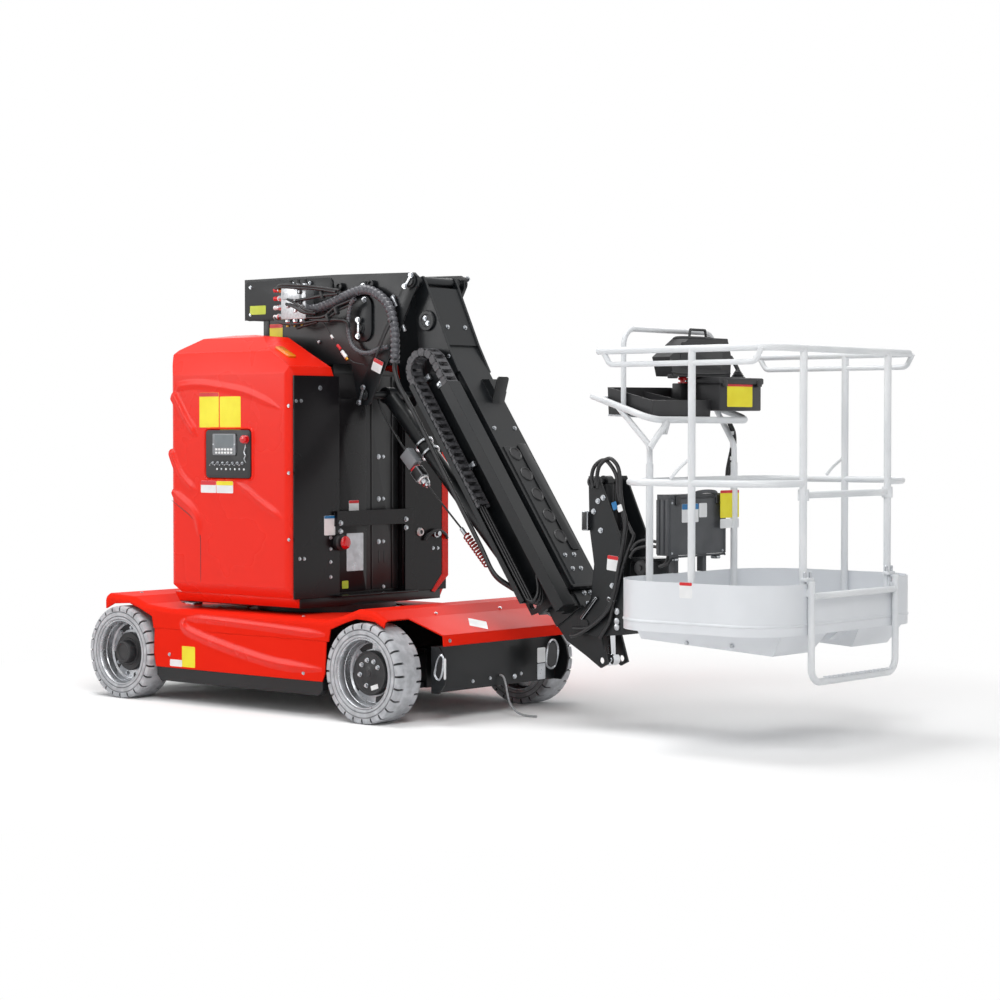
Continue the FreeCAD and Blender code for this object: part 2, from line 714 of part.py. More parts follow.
def cylinder(name, base, eye, barrel_radius, rod_radius, barrel_length, eye_radius, eye_half, retract=0):
    """Barrel and rod of a hydraulic cylinder lying from base to eye in the XZ plane."""
    run, drop = eye[0] - base[0], eye[1] - base[1]
    length = math.hypot(run, drop)
    angle = -math.degrees(math.atan2(drop, run))
    turn = FreeCAD.Rotation(AXES["Y"], angle)
    frame = FreeCAD.Placement(Vector(base[0], 0, base[1]), turn)

    def lug(place_x, radius):
        return Part.makeCylinder(radius, 2 * eye_half, Vector(place_x, -eye_half, 0), AXES["Y"])

    tube = Part.makeCylinder(barrel_radius, barrel_length - eye_radius, Vector(eye_radius * 0.5, 0, 0), AXES["X"])
    bore = Part.makeCylinder(rod_radius + 0.5, barrel_length, Vector(barrel_radius * 2, 0, 0), AXES["X"])
    barrel = tube.fuse(lug(0, eye_radius)).cut(bore).cut(lug(0, eye_radius * 0.5))
    stem = Part.makeCylinder(rod_radius, length - barrel_radius * 2 - 30 - retract,
                             Vector(barrel_radius * 2 + 10 + retract, 0, 0), AXES["X"])
    stub = Part.makeCylinder(eye_radius * 0.5, 2 * eye_half + 8, Vector(length, -eye_half - 4, 0), AXES["Y"])
    rod = stem.fuse(lug(length, eye_radius)).fuse(stub)
    for label, solid in ((name + "_barrel", barrel), (name + "_rod", rod)):
        solid.Placement = frame
        node(shape_feature(label + "_body", solid), label)


# ---------------------------------------------------------------- jib

def along(x, z):
    """How far a place lies along the jib and across it, from the jib's pivot."""
    turn = "(jib_angle * 1 deg)"
    run, rise = "(%s - pivot_x)" % x, "(%s - pivot_z)" % z
    return ("(%s * cos%s - %s * sin%s)" % (run, turn, rise, turn),
            "(%s * sin%s + %s * cos%s)" % (run, turn, rise, turn))


ARM_U, ARM_N = along("arm_pin_x", "arm_pin_z")
YOKE_U, YOKE_N = along("level_pin_x", "level_pin_z")


def in_jib(item, label):
    return node(item, label, "pivot_x", "0", "pivot_z", "jib_angle")


def jib_outer():
    top, bottom = "-jib_top", "-jib_top - jib_depth"
    outer = plate("jib_out", "XZ", [
        ("jib_start", top), ("jib_end", top), ("jib_end", bottom), ("jib_start + 170", bottom),
        ("jib_start", bottom + " + 60")], "-jib_half", "jib_half")
    hollow = plate("jib_in", "XZ", [
        ("jib_start - 1", top + " - jib_wall"), ("jib_end + 1", top + " - jib_wall"),
        ("jib_end + 1", bottom + " + jib_wall"), ("jib_start + 170", bottom + " + jib_wall"),
        ("jib_start - 1", bottom + " + 60 + jib_wall")],
        "-jib_half + jib_wall", "jib_half - jib_wall")
    tube = cut("jib_tube", outer, [hollow])
    parts = [tube]
    for side in (-1, 1):
        pair = ("jib_half", "jib_half + 12") if side > 0 else ("-jib_half - 12", "-jib_half")
        cheek = plate("jib_cheek_%d" % side, "XZ", [
            ("-28", "-20"), ("-10", "28"), ("22", "26"), ("330", "-jib_top + 14"), ("470", "-jib_top"),
            ("470", "-jib_top - jib_depth + 20"), ("420", "-jib_top - jib_depth + 20"),
            ("jib_start", "-jib_top - jib_depth + 62"), ("120", "-110")],
            *pair)
        bore = bar("jib_bore_%d" % side, "pivot_radius + 0.5", ("0", "-jib_half - 30", "0"),
                   "2 * jib_half + 60", "Y")
        parts.append(cut("jib_cheek_bored_%d" % side, cheek, [bore]))
    parts.append(plate("jib_front", "XZ", [
        ("45", "16"), ("330", "-jib_top + 8"), ("330", "-jib_top - 2"), ("45", "4")],
        "-jib_half", "jib_half"))
    parts.append(box("jib_cover", ("880", "jib_end - 14"), ("-jib_half + 22", "jib_half - 22"),
                     ("-jib_top - 1", "-jib_top + 5")))
    parts.append(plate("jib_bump", "XZ", [
        ("510", top + " - 1"), ("536", top + " + 36"), ("606", top + " + 36"), ("636", top + " - 1")],
        "20", "jib_half - 4"))
    collar = box("jib_collar", ("jib_end - 14", "jib_end"), ("-jib_half - 16", "jib_half + 16"),
                 ("%s - 16" % bottom, "%s + 16" % top))
    collar_in = box("jib_collar_in", ("jib_end - 20", "jib_end + 20"),
                    ("-jib_half + jib_wall", "jib_half - jib_wall"),
                    ("%s + jib_wall" % bottom, "%s - jib_wall" % top))
    parts.append(cut("jib_collar_ring", collar, [collar_in]))
    for side in (-1, 1):
        pair = ("34", "46") if side > 0 else ("-46", "-34")
        lug = plate("jib_lug_%d" % side, "XZ", [
            ("lift_eye_u - 150", bottom), ("lift_eye_u + 60", bottom),
            ("lift_eye_u + 34", "-lift_eye_n - 34"), ("lift_eye_u - 34", "-lift_eye_n - 34")], *pair)
        hole = bar("jib_lug_hole_%d" % side, "21", ("lift_eye_u", "-50", "-lift_eye_n"), "100", "Y")
        parts.append(cut("jib_lug_bored_%d" % side, lug, [hole]))
    in_jib(fuse("jib_outer_all", parts), "jib_outer")


def jib_inner():
    """The sliding inner section, with the two plates that carry the levelling arm."""
    gap = "(jib_wall + slide_gap)"
    top, bottom = "-jib_top - %s" % gap, "-jib_top - jib_depth + %s" % gap
    half = "jib_half - %s" % gap
    outer = box("inner_out", ("jib_start + 180", "inner_end"), ("-(%s)" % half, half), (bottom, top))
    hollow = box("inner_in", ("jib_start + 170", "inner_end - 20"), ("-(%s) + 6" % half, "%s - 6" % half),
                 ("%s + 6" % bottom, "%s - 6" % top))
    pad = box("inner_pad", ("jib_start + 180", "jib_start + 240"),
              ("-(%s) - slide_gap + 0.5" % half, "%s + slide_gap - 0.5" % half),
              (bottom + " - slide_gap + 0.5", top + " + slide_gap - 0.5"))
    core = box("inner_core", ("jib_start + 179", "jib_start + 241"), ("-(%s)" % half, half), (bottom, top))
    parts = [cut("inner_tube", outer, [hollow]), cut("inner_pad_ring", pad, [core])]
    for side in (-1, 1):
        pair = ("yoke_half - 12", "yoke_half") if side > 0 else ("-yoke_half", "-yoke_half + 12")
        yoke = plate("yoke_%d" % side, "XZ", [
            ("inner_end - 10", top), (ARM_U + " - 20", ARM_N + " + 45"), (ARM_U + " + 30", ARM_N + " + 40"),
            (YOKE_U + " + 30", YOKE_N + " + 20"), (YOKE_U + " + 24", YOKE_N + " - 22"),
            (YOKE_U + " - 60", YOKE_N + " - 60"), (ARM_U, bottom + " + 10"),
            ("inner_end - 10", bottom)], *pair)
        bores = [bar("arm_bore_%d" % side, "20.5", (ARM_U, "-arm_half", ARM_N), "2 * arm_half", "Y"),
                 bar("yoke_bore_%d" % side, "14.5", (YOKE_U, "-arm_half", YOKE_N), "2 * arm_half", "Y")]
        parts.append(cut("yoke_bored_%d" % side, yoke, bores))
    in_jib(fuse("inner_whole", parts), "jib_inner")


def chain_tube():
    middle = "-chain_line"
    wide, tall = "(chain_width / 2 + 10)", "(chain_height / 2 + 10)"
    outer = box("tube_out", ("chain_turn + 95", "inner_end - 4"),
                ("-chain_y - %s" % wide, "-chain_y + %s" % wide),
                ("%s - %s" % (middle, tall), "%s + %s" % (middle, tall)))
    hollow = box("tube_in", ("chain_turn + 90", "inner_end - 14"),
                 ("-chain_y - %s + 5" % wide, "-chain_y + %s - 5" % wide),
                 ("%s - %s + 5" % (middle, tall), "%s + %s - 5" % (middle, tall)))
    arm = box("tube_clamp", ("jib_end + 14", "inner_end - 8"), ("-chain_y + 35", "-jib_half + jib_wall + slide_gap"),
              ("%s - 60" % middle, "%s + 6" % middle))
    in_jib(fuse("chain_tube_all", [cut("tube_cut", outer, [hollow]), arm]), "chain_tube")


def energy_chain():
    """The hose chain: a loop, a short run to the tube and a long run to its fixed end."""
    radius, thick = value("chain_radius"), value("chain_height")
    upper, turn = -value("chain_line"), value("chain_turn")
    lower = upper - 2 * radius
    end = value("chain_turn") + 640
    start = value("chain_turn") + 640
    width, middle = value("chain_width"), -value("chain_y")

    def band(grow):
        outer_top, outer_low = upper + grow, lower - grow
        arc = Part.Arc(Vector(turn, 0, outer_top), Vector(turn - radius - grow, 0, upper - radius),
                       Vector(turn, 0, outer_low)).toShape()
        return arc, outer_top, outer_low

    big, top, low = band(thick / 2)
    small, top_in, low_in = band(-thick / 2)
    edges = [big, Part.makeLine(Vector(turn, 0, low), Vector(end, 0, low)),
             Part.makeLine(Vector(end, 0, low), Vector(end, 0, low_in)),
             Part.makeLine(Vector(end, 0, low_in), Vector(turn, 0, low_in)), small,
             Part.makeLine(Vector(turn, 0, top_in), Vector(start, 0, top_in)),
             Part.makeLine(Vector(start, 0, top_in), Vector(start, 0, top)),
             Part.makeLine(Vector(start, 0, top), Vector(turn, 0, top))]
    wire = Part.Wire(Part.__sortEdges__(edges))
    solid = Part.Face(wire).extrude(Vector(0, width, 0))
    solid.translate(Vector(0, middle - width / 2, 0))
    in_jib(shape_feature("chain_body", solid), "energy_chain")


def hose_tray():
    """The tray that the chain's long run lies in, held to the jib's side."""
    lower = "-chain_line - 2 * chain_radius - chain_height / 2"
    base = box("tray_base", ("chain_turn - 20", "jib_end - 60"),
               ("-chain_y - chain_width / 2", "-jib_half - 0.5"), ("%s - 6" % lower, "%s - 1" % lower))
    lip = box("tray_lip", ("chain_turn - 20", "jib_end - 60"),
              ("-chain_y - chain_width / 2 - 6", "-chain_y - chain_width / 2 - 1"),
              ("%s - 6" % lower, "%s + 20" % lower))
    floor = box("tray_join", ("chain_turn - 20", "jib_end - 60"),
                ("-chain_y - chain_width / 2 - 6", "-jib_half"),
                ("%s - 6" % lower, "%s - 1" % lower))
    ties = [box("tray_tie_%d" % index, (start, start + " + 44"), ("-jib_half - 6", "-jib_half"),
                ("%s - 6" % lower, "-jib_depth / 2"))
            for index, start in enumerate(("chain_turn + 60", "chain_turn + 560", "jib_end - 130"))]
    in_jib(fuse("chain_tray_all", [base, lip, floor] + ties), "chain_tray")


# ---------------------------------------------------------------- levelling arm

def level_arm():
    parts = []
    for side in (-1, 1):
        pair = ("arm_half - arm_plate", "arm_half") if side > 0 else ("-arm_half", "-arm_half + arm_plate")
        parts.append(plate("arm_side_%d" % side, "XZ", [
            ("arm_top_x - 20", "arm_top_z + 24"), ("arm_top_x + 34", "arm_top_z + 24"),
            ("arm_top_x + 150", "arm_top_z - 231"), ("arm_pin_x + 215", "arm_pin_z + 150"),
            ("arm_pin_x + 215", "arm_pin_z - 35"), ("arm_pin_x + 60", "arm_pin_z - 50"),
            ("arm_pin_x - 38", "arm_pin_z - 35"), ("arm_pin_x - 38", "arm_pin_z + 35"),
            ("arm_pin_x + 30", "arm_pin_z + 110"), ("arm_pin_x + 48", "arm_pin_z + 260"),
            ("arm_top_x - 14", "arm_top_z - 200")], *pair))
    parts.append(box("arm_wall", ("arm_pin_x + 205", "arm_pin_x + 215"), ("-arm_half + 1", "arm_half - 1"),
                     ("arm_pin_z - 35", "arm_pin_z + 150")))
    for name, x, z, radius in (("top", "arm_top_x", "arm_top_z", "12.5"), ("low", "arm_pin_x", "arm_pin_z", "20")):
        parts.append(bar("arm_pin_" + name, radius, (x, "-arm_half - 6", z), "2 * arm_half + 12", "Y"))
    for name, low in (("low", "swivel_low - 16.5"), ("high", "swivel_high + 0.5")):
        parts.append(box("arm_ear_" + name, ("arm_pin_x + 206", "swivel_x"),
                         ("-swivel_radius + 8", "swivel_radius - 8"), (low, low + " + 16")))
        parts.append(bar("arm_eye_" + name, "swivel_radius - 8", ("swivel_x", "0", low), "16"))
    parts.append(box("arm_back", ("arm_pin_x + 206", "arm_pin_x + 216"), ("-swivel_radius + 8", "swivel_radius - 8"),
                     ("arm_pin_z + 100", "swivel_high + 16")))
    node(fuse("level_arm_all", parts), "level_arm")


def swivel():
    node(bar("swivel_body", "swivel_radius", ("0", "0", "0"), "swivel_high - swivel_low"), "basket_swivel",
         x="swivel_x", z="swivel_low")


# ---------------------------------------------------------------- basket

def rounded_plan(half, rear, front, corner, low, high):
    """A solid of the basket's plan: a rectangle with rounded corners, wider ones at the rear."""
    block = Part.makeBox(front - rear, 2 * half, high - low, Vector(rear, -half, low))
    for at_front in (False, True):
        near = [edge for edge in block.Edges if abs(edge.tangentAt(edge.FirstParameter).z) > 0.9
                and (edge.Vertexes[0].X > (front + rear) / 2) == at_front
                and abs(abs(edge.Vertexes[0].Y) - half) < 0.1]
        block = block.makeFillet(corner * (0.76 if at_front else 1), near)
    return block


def basket_floor():
    """The floor plate with its kick boards, open at the top, and the beams below it."""
    rear, front = value("basket_rear"), value("basket_rear + basket_length")
    half, corner = value("basket_half"), value("basket_corner")
    low, high, thick = value("floor_low"), value("toe_top"), value("sheet")
    tub = rounded_plan(half, rear, front, corner, low, high)
    inside = rounded_plan(half - thick, rear + thick, front - thick, corner - thick, low + thick, high + 1)
    tub = tub.cut(inside)
    entry = Part.makeBox(20, 2 * value("entry_half") - 40, 60,
                         Vector(front - 10, -value("entry_half") + 20, high - 45))
    tub = tub.cut(entry)
    for side in (-1, 1):
        outline = [(rear + 150, low), (front - 80, low), (front - 140, low - 50), (rear + 300, low - 30)]
        wire = Part.makePolygon([Vector(x, 0, z) for x, z in outline + outline[:1]])
        pan = Part.Face(wire).extrude(Vector(0, 250, 0))
        pan.translate(Vector(0, 60 if side > 0 else -310, 0))
        tub = tub.fuse(pan)
    post, radius = value("swivel_x"), value("swivel_radius")
    arm = Part.makeBox(rear + 10 - post, 100, 110, Vector(post, -50, low + 40))
    arm = arm.cut(Part.makeCylinder(radius, 400, Vector(post, 0, low - 100)))
    tub = tub.fuse(arm)
    node(shape_feature("basket_floor_body", tub.removeSplitter()), "basket_floor")


def basket_rails():
    """Posts, top rail, mid rails and hand rails of the basket."""
    rear, front = value("basket_rear"), value("basket_rear + basket_length")
    half, top = value("basket_half") - 22, value("rail_top")
    radius, post = value("rail_radius"), value("post_radius")
    floor = value("floor_low") + value("sheet")
    entry, side_x, mid = value("entry_half"), value("basket_rear + side_post"), value("mid_rail")
    pieces = []
    near = front - 22
    pieces.append(swept([(rear - 20, -half, top), (near, -half, top), (near, half, top),
                         (rear - 20, half, top)], 110, radius))
    for sign in (-1, 1):
        y = sign * half
        for x, level in ((side_x, top),):
            pieces.append(Part.makeCylinder(post, level - floor, Vector(x, y, floor)))
        pieces.append(Part.makeCylinder(post, top - floor, Vector(near, sign * entry, floor)))
        pieces.append(swept([(rear + 50, sign * 300, mid), (rear + 50, y, mid), (near, y, mid),
                             (near, sign * entry, mid)], [180, 180], radius))
        pieces.append(swept([(rear + 5, y, top), (rear + 40, y, top - 55), (near - 60, y, top - 55),
                             (near - 30, y, top)], 30, 11))
        pieces.append(Part.makeCylinder(post, 1150 - floor, Vector(rear + 50, sign * 300, floor)))
    pieces.append(Part.makeCylinder(radius, 600, Vector(rear + 50, -300, mid), AXES["Y"]))
    rails = pieces[0]
    for piece in pieces[1:]:
        rails = rails.fuse(piece)
    node(shape_feature("basket_rails_body", rails.removeSplitter()), "basket_rails")


def entry_bar():
    front, entry = value("basket_rear + basket_length") - 22, value("entry_half")
    mid = value("mid_rail") - 45
    ring = value("post_radius")
    tube = Part.makeCylinder(value("rail_radius"), 2 * entry - 2 * ring - 12,
                             Vector(front, -entry + ring + 6, mid), AXES["Y"])
    pieces = tube
    for sign in (-1, 1):
        sleeve = Part.makeCylinder(ring + 8, 44, Vector(front, sign * entry, mid - 22))
        sleeve = sleeve.cut(Part.makeCylinder(ring + 0.5, 50, Vector(front, sign * entry, mid - 25)))
        slot = Part.makeBox(60, 30, 50, Vector(front - 30, sign * (entry + 4 + 15) - 15, mid - 25))
        sleeve = sleeve.cut(slot)
        pieces = pieces.fuse(sleeve)
    node(shape_feature("entry_bar_body", pieces), "entry_bar")


def access_step():
    front, entry = value("basket_rear + basket_length"), value("entry_half")
    low = 305
    x = front + 18
    step = swept([(x, -entry, 700), (x, -entry, low), (x, entry, low), (x, entry, 700)], 60, 14)
    for sign in (-1, 1):
        step = step.fuse(Part.makeBox(20, 24, 30, Vector(front, sign * entry - 12, 640)))
    node(shape_feature("access_step_body", step), "access_step")


def tilted(solid, start):
    """Stand a solid drawn on its own floor on the console's sloping ring."""
    solid.rotate(Vector(), AXES["Y"], CONSOLE_SLOPE)
    solid.translate(start)
    return solid


CONSOLE_SLOPE = 17.6


def console():
    """The tube frame, tray, control box and hood at the operator's end."""
    rear = value("basket_rear")
    tube = value("rail_radius")
    back, nose = Vector(rear - 215, 0, 1430), Vector(rear + 100, 0, 1330)
    ring = swept([(back.x, -345, back.z), (nose.x, -345, nose.z), (nose.x, 345, nose.z),
                  (back.x, 345, back.z)], 60, tube)
    hoop_x = rear - 70
    hoop_z = back.z - (hoop_x - back.x) * math.tan(math.radians(CONSOLE_SLOPE))
    hoop = swept([(hoop_x, -320, hoop_z - 11), (hoop_x, -320, 1705), (hoop_x, 320, 1705),
                  (hoop_x, 320, hoop_z - 11)], 70, 11)
    for sign in (-1, 1):
        hoop = hoop.fuse(Part.makeCylinder(8, 24, Vector(hoop_x, sign * 332 - 12, hoop_z), AXES["Y"]))
    frame = ring.fuse(hoop)
    frame = frame.fuse(Part.makeCylinder(10, 690, Vector(back.x + 30, -345, back.z - 10), AXES["Y"]))
    for sign in (-1, 1):
        frame = frame.fuse(swept([(rear + 50, sign * 300, 1150), (rear + 50, sign * 300, 1225),
                                  (rear - 80, sign * 345, 1384)], 60, tube - 2))
    node(shape_feature("console_frame_body", frame), "console_frame")
    up = Vector(math.sin(math.radians(CONSOLE_SLOPE)), 0, math.cos(math.radians(CONSOLE_SLOPE)))
    seat = back + up * tube
    tray = Part.makeBox(312, 440, 72, Vector(8, -306, 0)).cut(Part.makeBox(306, 434, 72, Vector(11, -303, 3)))
    node(shape_feature("console_tray_body", tilted(tray, seat)), "console_tray")
    case = Part.makeBox(140, 280, 120, Vector(186, 134, 0))
    node(shape_feature("control_box_body", tilted(case, seat)), "control_box")
    side = [(-140, 1592), (-112, 1512), (296, 1512), (304, 1600), (276, 1678), (10, 1678)]
    face = Part.Face(Part.makePolygon([Vector(0, y, z) for y, z in side + side[:1]]))
    hood = face.extrude(Vector(90, 0, 0))
    hood.translate(Vector(hoop_x + 11, 0, 0))
    lug = Part.makeBox(30, 32, 24, Vector(hoop_x + 1, 285, 1588))
    hood = hood.fuse(lug).cut(hoop)
    node(shape_feature("console_hood_body", hood), "console_hood")
    case = Part.makeBox(60, 410, 255, Vector(rear - 28, -145, value("toe_top") + 75))
    for y in (-70, 130):
        case = case.fuse(Part.makeBox(30, 26, 76, Vector(rear - 22, y, value("toe_top"))))
    node(shape_feature("document_case_body", case), "document_case")


# ---------------------------------------------------------------- assembly

for corner, front, side in (("front_right", True, -1), ("front_left", True, 1),
                            ("rear_right", False, -1), ("rear_left", False, 1)):
    wheel(corner, front, side)
knuckle("knuckle_right", -1)
knuckle("knuckle_left", 1)
front_axle()
rear_axle()
chassis_frame()
battery_blocks()
deck_cover()
side_cover("side_cover_right", -1)
side_cover("side_cover_left", 1)
side_sills()
front_bumper()
rear_bumper()
earth_strap()
slew_ring()
turret_base()
pod("pod_right", -1)
pod("pod_left", 1)
rear_cover()
counterweight()
front_plates()
ground_panel()
stop_button()
mast()
mast_head()
valve_block()
head_hose()
lift_angle, lift_length = along_lift()
lift_eye = (value("lift_base_x") + lift_length * math.cos(math.radians(lift_angle)),
            value("lift_base_z") - lift_length * math.sin(math.radians(lift_angle)))
cylinder("lift", (value("lift_base_x"), value("lift_base_z")), lift_eye, value("lift_radius"),
         value("lift_rod"), 1010, 38, 28)
jib_outer()
jib_inner()
chain_tube()
energy_chain()
hose_tray()
level_arm()
cylinder("level", (value("arm_top_x"), value("arm_top_z")),
         (value("level_pin_x"), value("level_pin_z")), value("level_radius"),
         value("level_rod_radius"), 430, 26, 22, 215)
swivel()
basket_floor()
basket_rails()
entry_bar()
access_step()
console()

doc.recompute()
for item in doc.Objects:
    if "Invalid" in item.State or "Error" in item.State:
        raise RuntimeError("%s failed: %s" % (item.Label, item.State))
for item in NODES:
    if item.Shape.isNull() or not item.Shape.isValid():
        raise RuntimeError("%s has no valid shape" % item.Label)
    item.Shape.exportStep("parts/%s.step" % item.Label)
    solids = len(item.Shape.Solids)
    print("%-18s solids %d volume %.0f" % (item.Label, solids, item.Shape.Volume))
print(len(NODES), "nodes")
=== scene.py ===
"""Looks of the vertical mast lift: finishes for its CAD pieces, and the small parts on them."""
import math

import bmesh
import bpy
from mathutils import Matrix, Vector


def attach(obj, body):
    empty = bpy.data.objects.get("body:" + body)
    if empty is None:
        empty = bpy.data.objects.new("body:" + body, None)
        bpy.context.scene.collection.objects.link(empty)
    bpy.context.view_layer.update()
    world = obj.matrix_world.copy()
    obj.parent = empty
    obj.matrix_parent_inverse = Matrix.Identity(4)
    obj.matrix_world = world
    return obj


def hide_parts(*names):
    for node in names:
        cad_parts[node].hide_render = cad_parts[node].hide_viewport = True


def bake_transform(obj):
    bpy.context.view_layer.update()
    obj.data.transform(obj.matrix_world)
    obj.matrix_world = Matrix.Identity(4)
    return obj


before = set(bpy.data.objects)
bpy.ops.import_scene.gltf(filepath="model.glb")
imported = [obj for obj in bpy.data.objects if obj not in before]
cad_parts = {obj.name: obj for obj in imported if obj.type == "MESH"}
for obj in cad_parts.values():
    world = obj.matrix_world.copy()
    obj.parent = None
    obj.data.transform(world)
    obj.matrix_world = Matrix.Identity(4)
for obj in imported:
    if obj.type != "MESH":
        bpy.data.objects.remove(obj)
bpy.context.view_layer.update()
scene = bpy.context.scene
scene.view_settings.view_transform = "Standard"

X, Y, Z = Vector((1, 0, 0)), Vector((0, 1, 0)), Vector((0, 0, 1))
RIGHT, LEFT = -1, 1
CHASSIS_BACK = 0.955
JIB_PIVOT = (705, 1962)
JIB_SLOPE = math.radians(55.5)
# Millimetres: a wheel's place along and across and its radius, then how far out the side covers, the pods and the
# mast head's cheek reach, and the front faces of the bumper, the turret's plates, the mast's cover and the case.
AXLE, TRACK, WHEEL = 805, 525, 222
SIDE_FACE, POD_FACE, HEAD_FACE = 580, 530, 165
BUMPER_FACE, PLATE_FACE, COVER_FACE, CASE_FACE = 1145, 303, 265, 2132
CHAIN_ACROSS = -173


def spot(along, across, up):
    """A place in metres, from millimetres measured at the middle of the chassis on the floor."""
    return Vector((along / 1000 - CHASSIS_BACK, across / 1000, up / 1000))


def placed(point):
    """A place in metres. One that is given as three numbers is in millimetres, as spot() takes them."""
    return point if isinstance(point, Vector) else spot(*point)


def side_on(across, points):
    """(along, up) pairs as places on one upright plane, as seen from the machine's side."""
    return [spot(along, across, up) for along, up in points]


def face_on(along, points):
    """(across, up) pairs as places on one upright plane, as seen from the machine's front."""
    return [spot(along, across, up) for across, up in points]


JIB_RUN = Vector((math.cos(JIB_SLOPE), 0, -math.sin(JIB_SLOPE)))
JIB_RISE = Vector((math.sin(JIB_SLOPE), 0, math.cos(JIB_SLOPE)))
JIB_TURN = Matrix((JIB_RUN, Y, JIB_RISE)).transposed()


def on_jib(down, across, off):
    """A place measured down the jib from its pivot, across it, and off its centre line."""
    return spot(JIB_PIVOT[0], across, JIB_PIVOT[1]) + (JIB_RUN * down + JIB_RISE * off) / 1000


# ---------------------------------------------------------------- camera and light

def set_camera():
    """A long lens, off the machine's front right corner and looking slightly down."""
    lens = bpy.data.cameras.new("eye")
    lens.lens = 86.4
    lens.sensor_width = 36
    lens.clip_end = 100
    eye = bpy.data.objects.new("eye", lens)
    eye.location = (7.111, -8.162, 1.283)
    eye.rotation_euler = (math.radians(90 - 1.64), 0, math.radians(40.53))
    scene.collection.objects.link(eye)
    scene.camera = eye


def softbox(name, place, aim, size, power):
    """A rectangular lamp at one place that faces another."""
    lamp = bpy.data.lights.new(name, "AREA")
    lamp.shape = "RECTANGLE"
    lamp.size, lamp.size_y = size
    lamp.energy = power
    holder = bpy.data.objects.new(name, lamp)
    holder.location = place
    holder.rotation_euler = (Vector(aim) - Vector(place)).to_track_quat("-Z", "Y").to_euler()
    scene.collection.objects.link(holder)


def put(tree, kind, feeds=None, **settings):
    """Adds a node with its settings, and feeds its inputs with values or other nodes' outputs."""
    made = tree.nodes.new(kind)
    for name, value in settings.items():
        setattr(made, name, value)
    for socket, source in (feeds or {}).items():
        if isinstance(source, bpy.types.NodeSocket):
            tree.links.new(source, made.inputs[socket])
        else:
            made.inputs[socket].default_value = source
    return made


def pigment(code):
    """An sRGB hex colour as the linear values that a shader takes."""
    parts = [int(code[start:start + 2], 16) / 255 for start in (1, 3, 5)]
    return [part / 12.92 if part <= 0.04045 else ((part + 0.055) / 1.055) ** 2.4 for part in parts] + [1]


def seen_directly(tree):
    """1 for rays from the camera, a gloss or through glass, and 0 for the rays that light things."""
    ray = put(tree, "ShaderNodeLightPath")
    seen = ray.outputs["Is Camera Ray"]
    for kind in ("Is Glossy Ray", "Is Transmission Ray"):
        seen = put(tree, "ShaderNodeMath", {0: seen, 1: ray.outputs[kind]}, operation="MAXIMUM").outputs[0]
    return seen


def light_room():
    """Even light from all round, with a white room wherever the camera or a gloss sees past the machine."""
    room = bpy.data.worlds.new("studio")
    room.use_nodes = True
    tree = room.node_tree
    tree.nodes.clear()
    soft = put(tree, "ShaderNodeBackground", {"Color": (1, 1, 1, 1), "Strength": 0.37})
    white = put(tree, "ShaderNodeBackground", {"Color": (1, 1, 1, 1), "Strength": 1.0})
    both = put(tree, "ShaderNodeMixShader", {0: seen_directly(tree), 1: soft.outputs[0], 2: white.outputs[0]})
    put(tree, "ShaderNodeOutputWorld", {"Surface": both.outputs[0]})
    scene.world = room
    softbox("key", (5.5, -5.5, 5.5), (-0.6, 0, 0.9), (3.2, 3.2), 250)
    softbox("top", (-1.0, -1.0, 7.0), (-0.5, 0, 0.8), (4.4, 3.2), 275)
    softbox("side", (-6.0, -6.0, 3.2), (-0.8, 0, 0.9), (3.0, 3.0), 125)
    softbox("rear", (-4.0, 7.0, 4.0), (0, 0, 0.9), (3.0, 3.0), 115)


def lay_floor():
    """White paper that keeps the machine's shadow and fades into the white room further out."""
    sheet = bpy.data.meshes.new("floor")
    reach, fade_start, fade_end = 30, 1.9, 3.6
    sheet.from_pydata([(-reach, -reach, 0), (reach, -reach, 0), (reach, reach, 0), (-reach, reach, 0)], [],
                      [(0, 1, 2, 3)])
    floor = bpy.data.objects.new("floor", sheet)
    scene.collection.objects.link(floor)
    paper = bpy.data.materials.new("white_studio_paper")
    paper.use_nodes = True
    tree = paper.node_tree
    tree.nodes.clear()
    seen = seen_directly(tree)
    matt = put(tree, "ShaderNodeBsdfDiffuse", {"Color": pigment("#fbfbfb"), "Roughness": 1.0})
    far = put(tree, "ShaderNodeEmission", {"Color": (1, 1, 1, 1), "Strength": 1.0})
    place = put(tree, "ShaderNodeTexCoord").outputs["Object"]
    out = put(tree, "ShaderNodeVectorMath", {0: place}, operation="LENGTH").outputs["Value"]
    fade = put(tree, "ShaderNodeMapRange", {0: out, 1: fade_start, 2: fade_end},
               interpolation_type="SMOOTHSTEP").outputs[0]
    shown = put(tree, "ShaderNodeMixShader", {0: fade, 1: matt.outputs[0], 2: far.outputs[0]})
    both = put(tree, "ShaderNodeMixShader", {0: seen, 1: matt.outputs[0], 2: shown.outputs[0]})
    put(tree, "ShaderNodeOutputMaterial", {"Surface": both.outputs[0]})
    sheet.materials.append(paper)


# ---------------------------------------------------------------- finishes


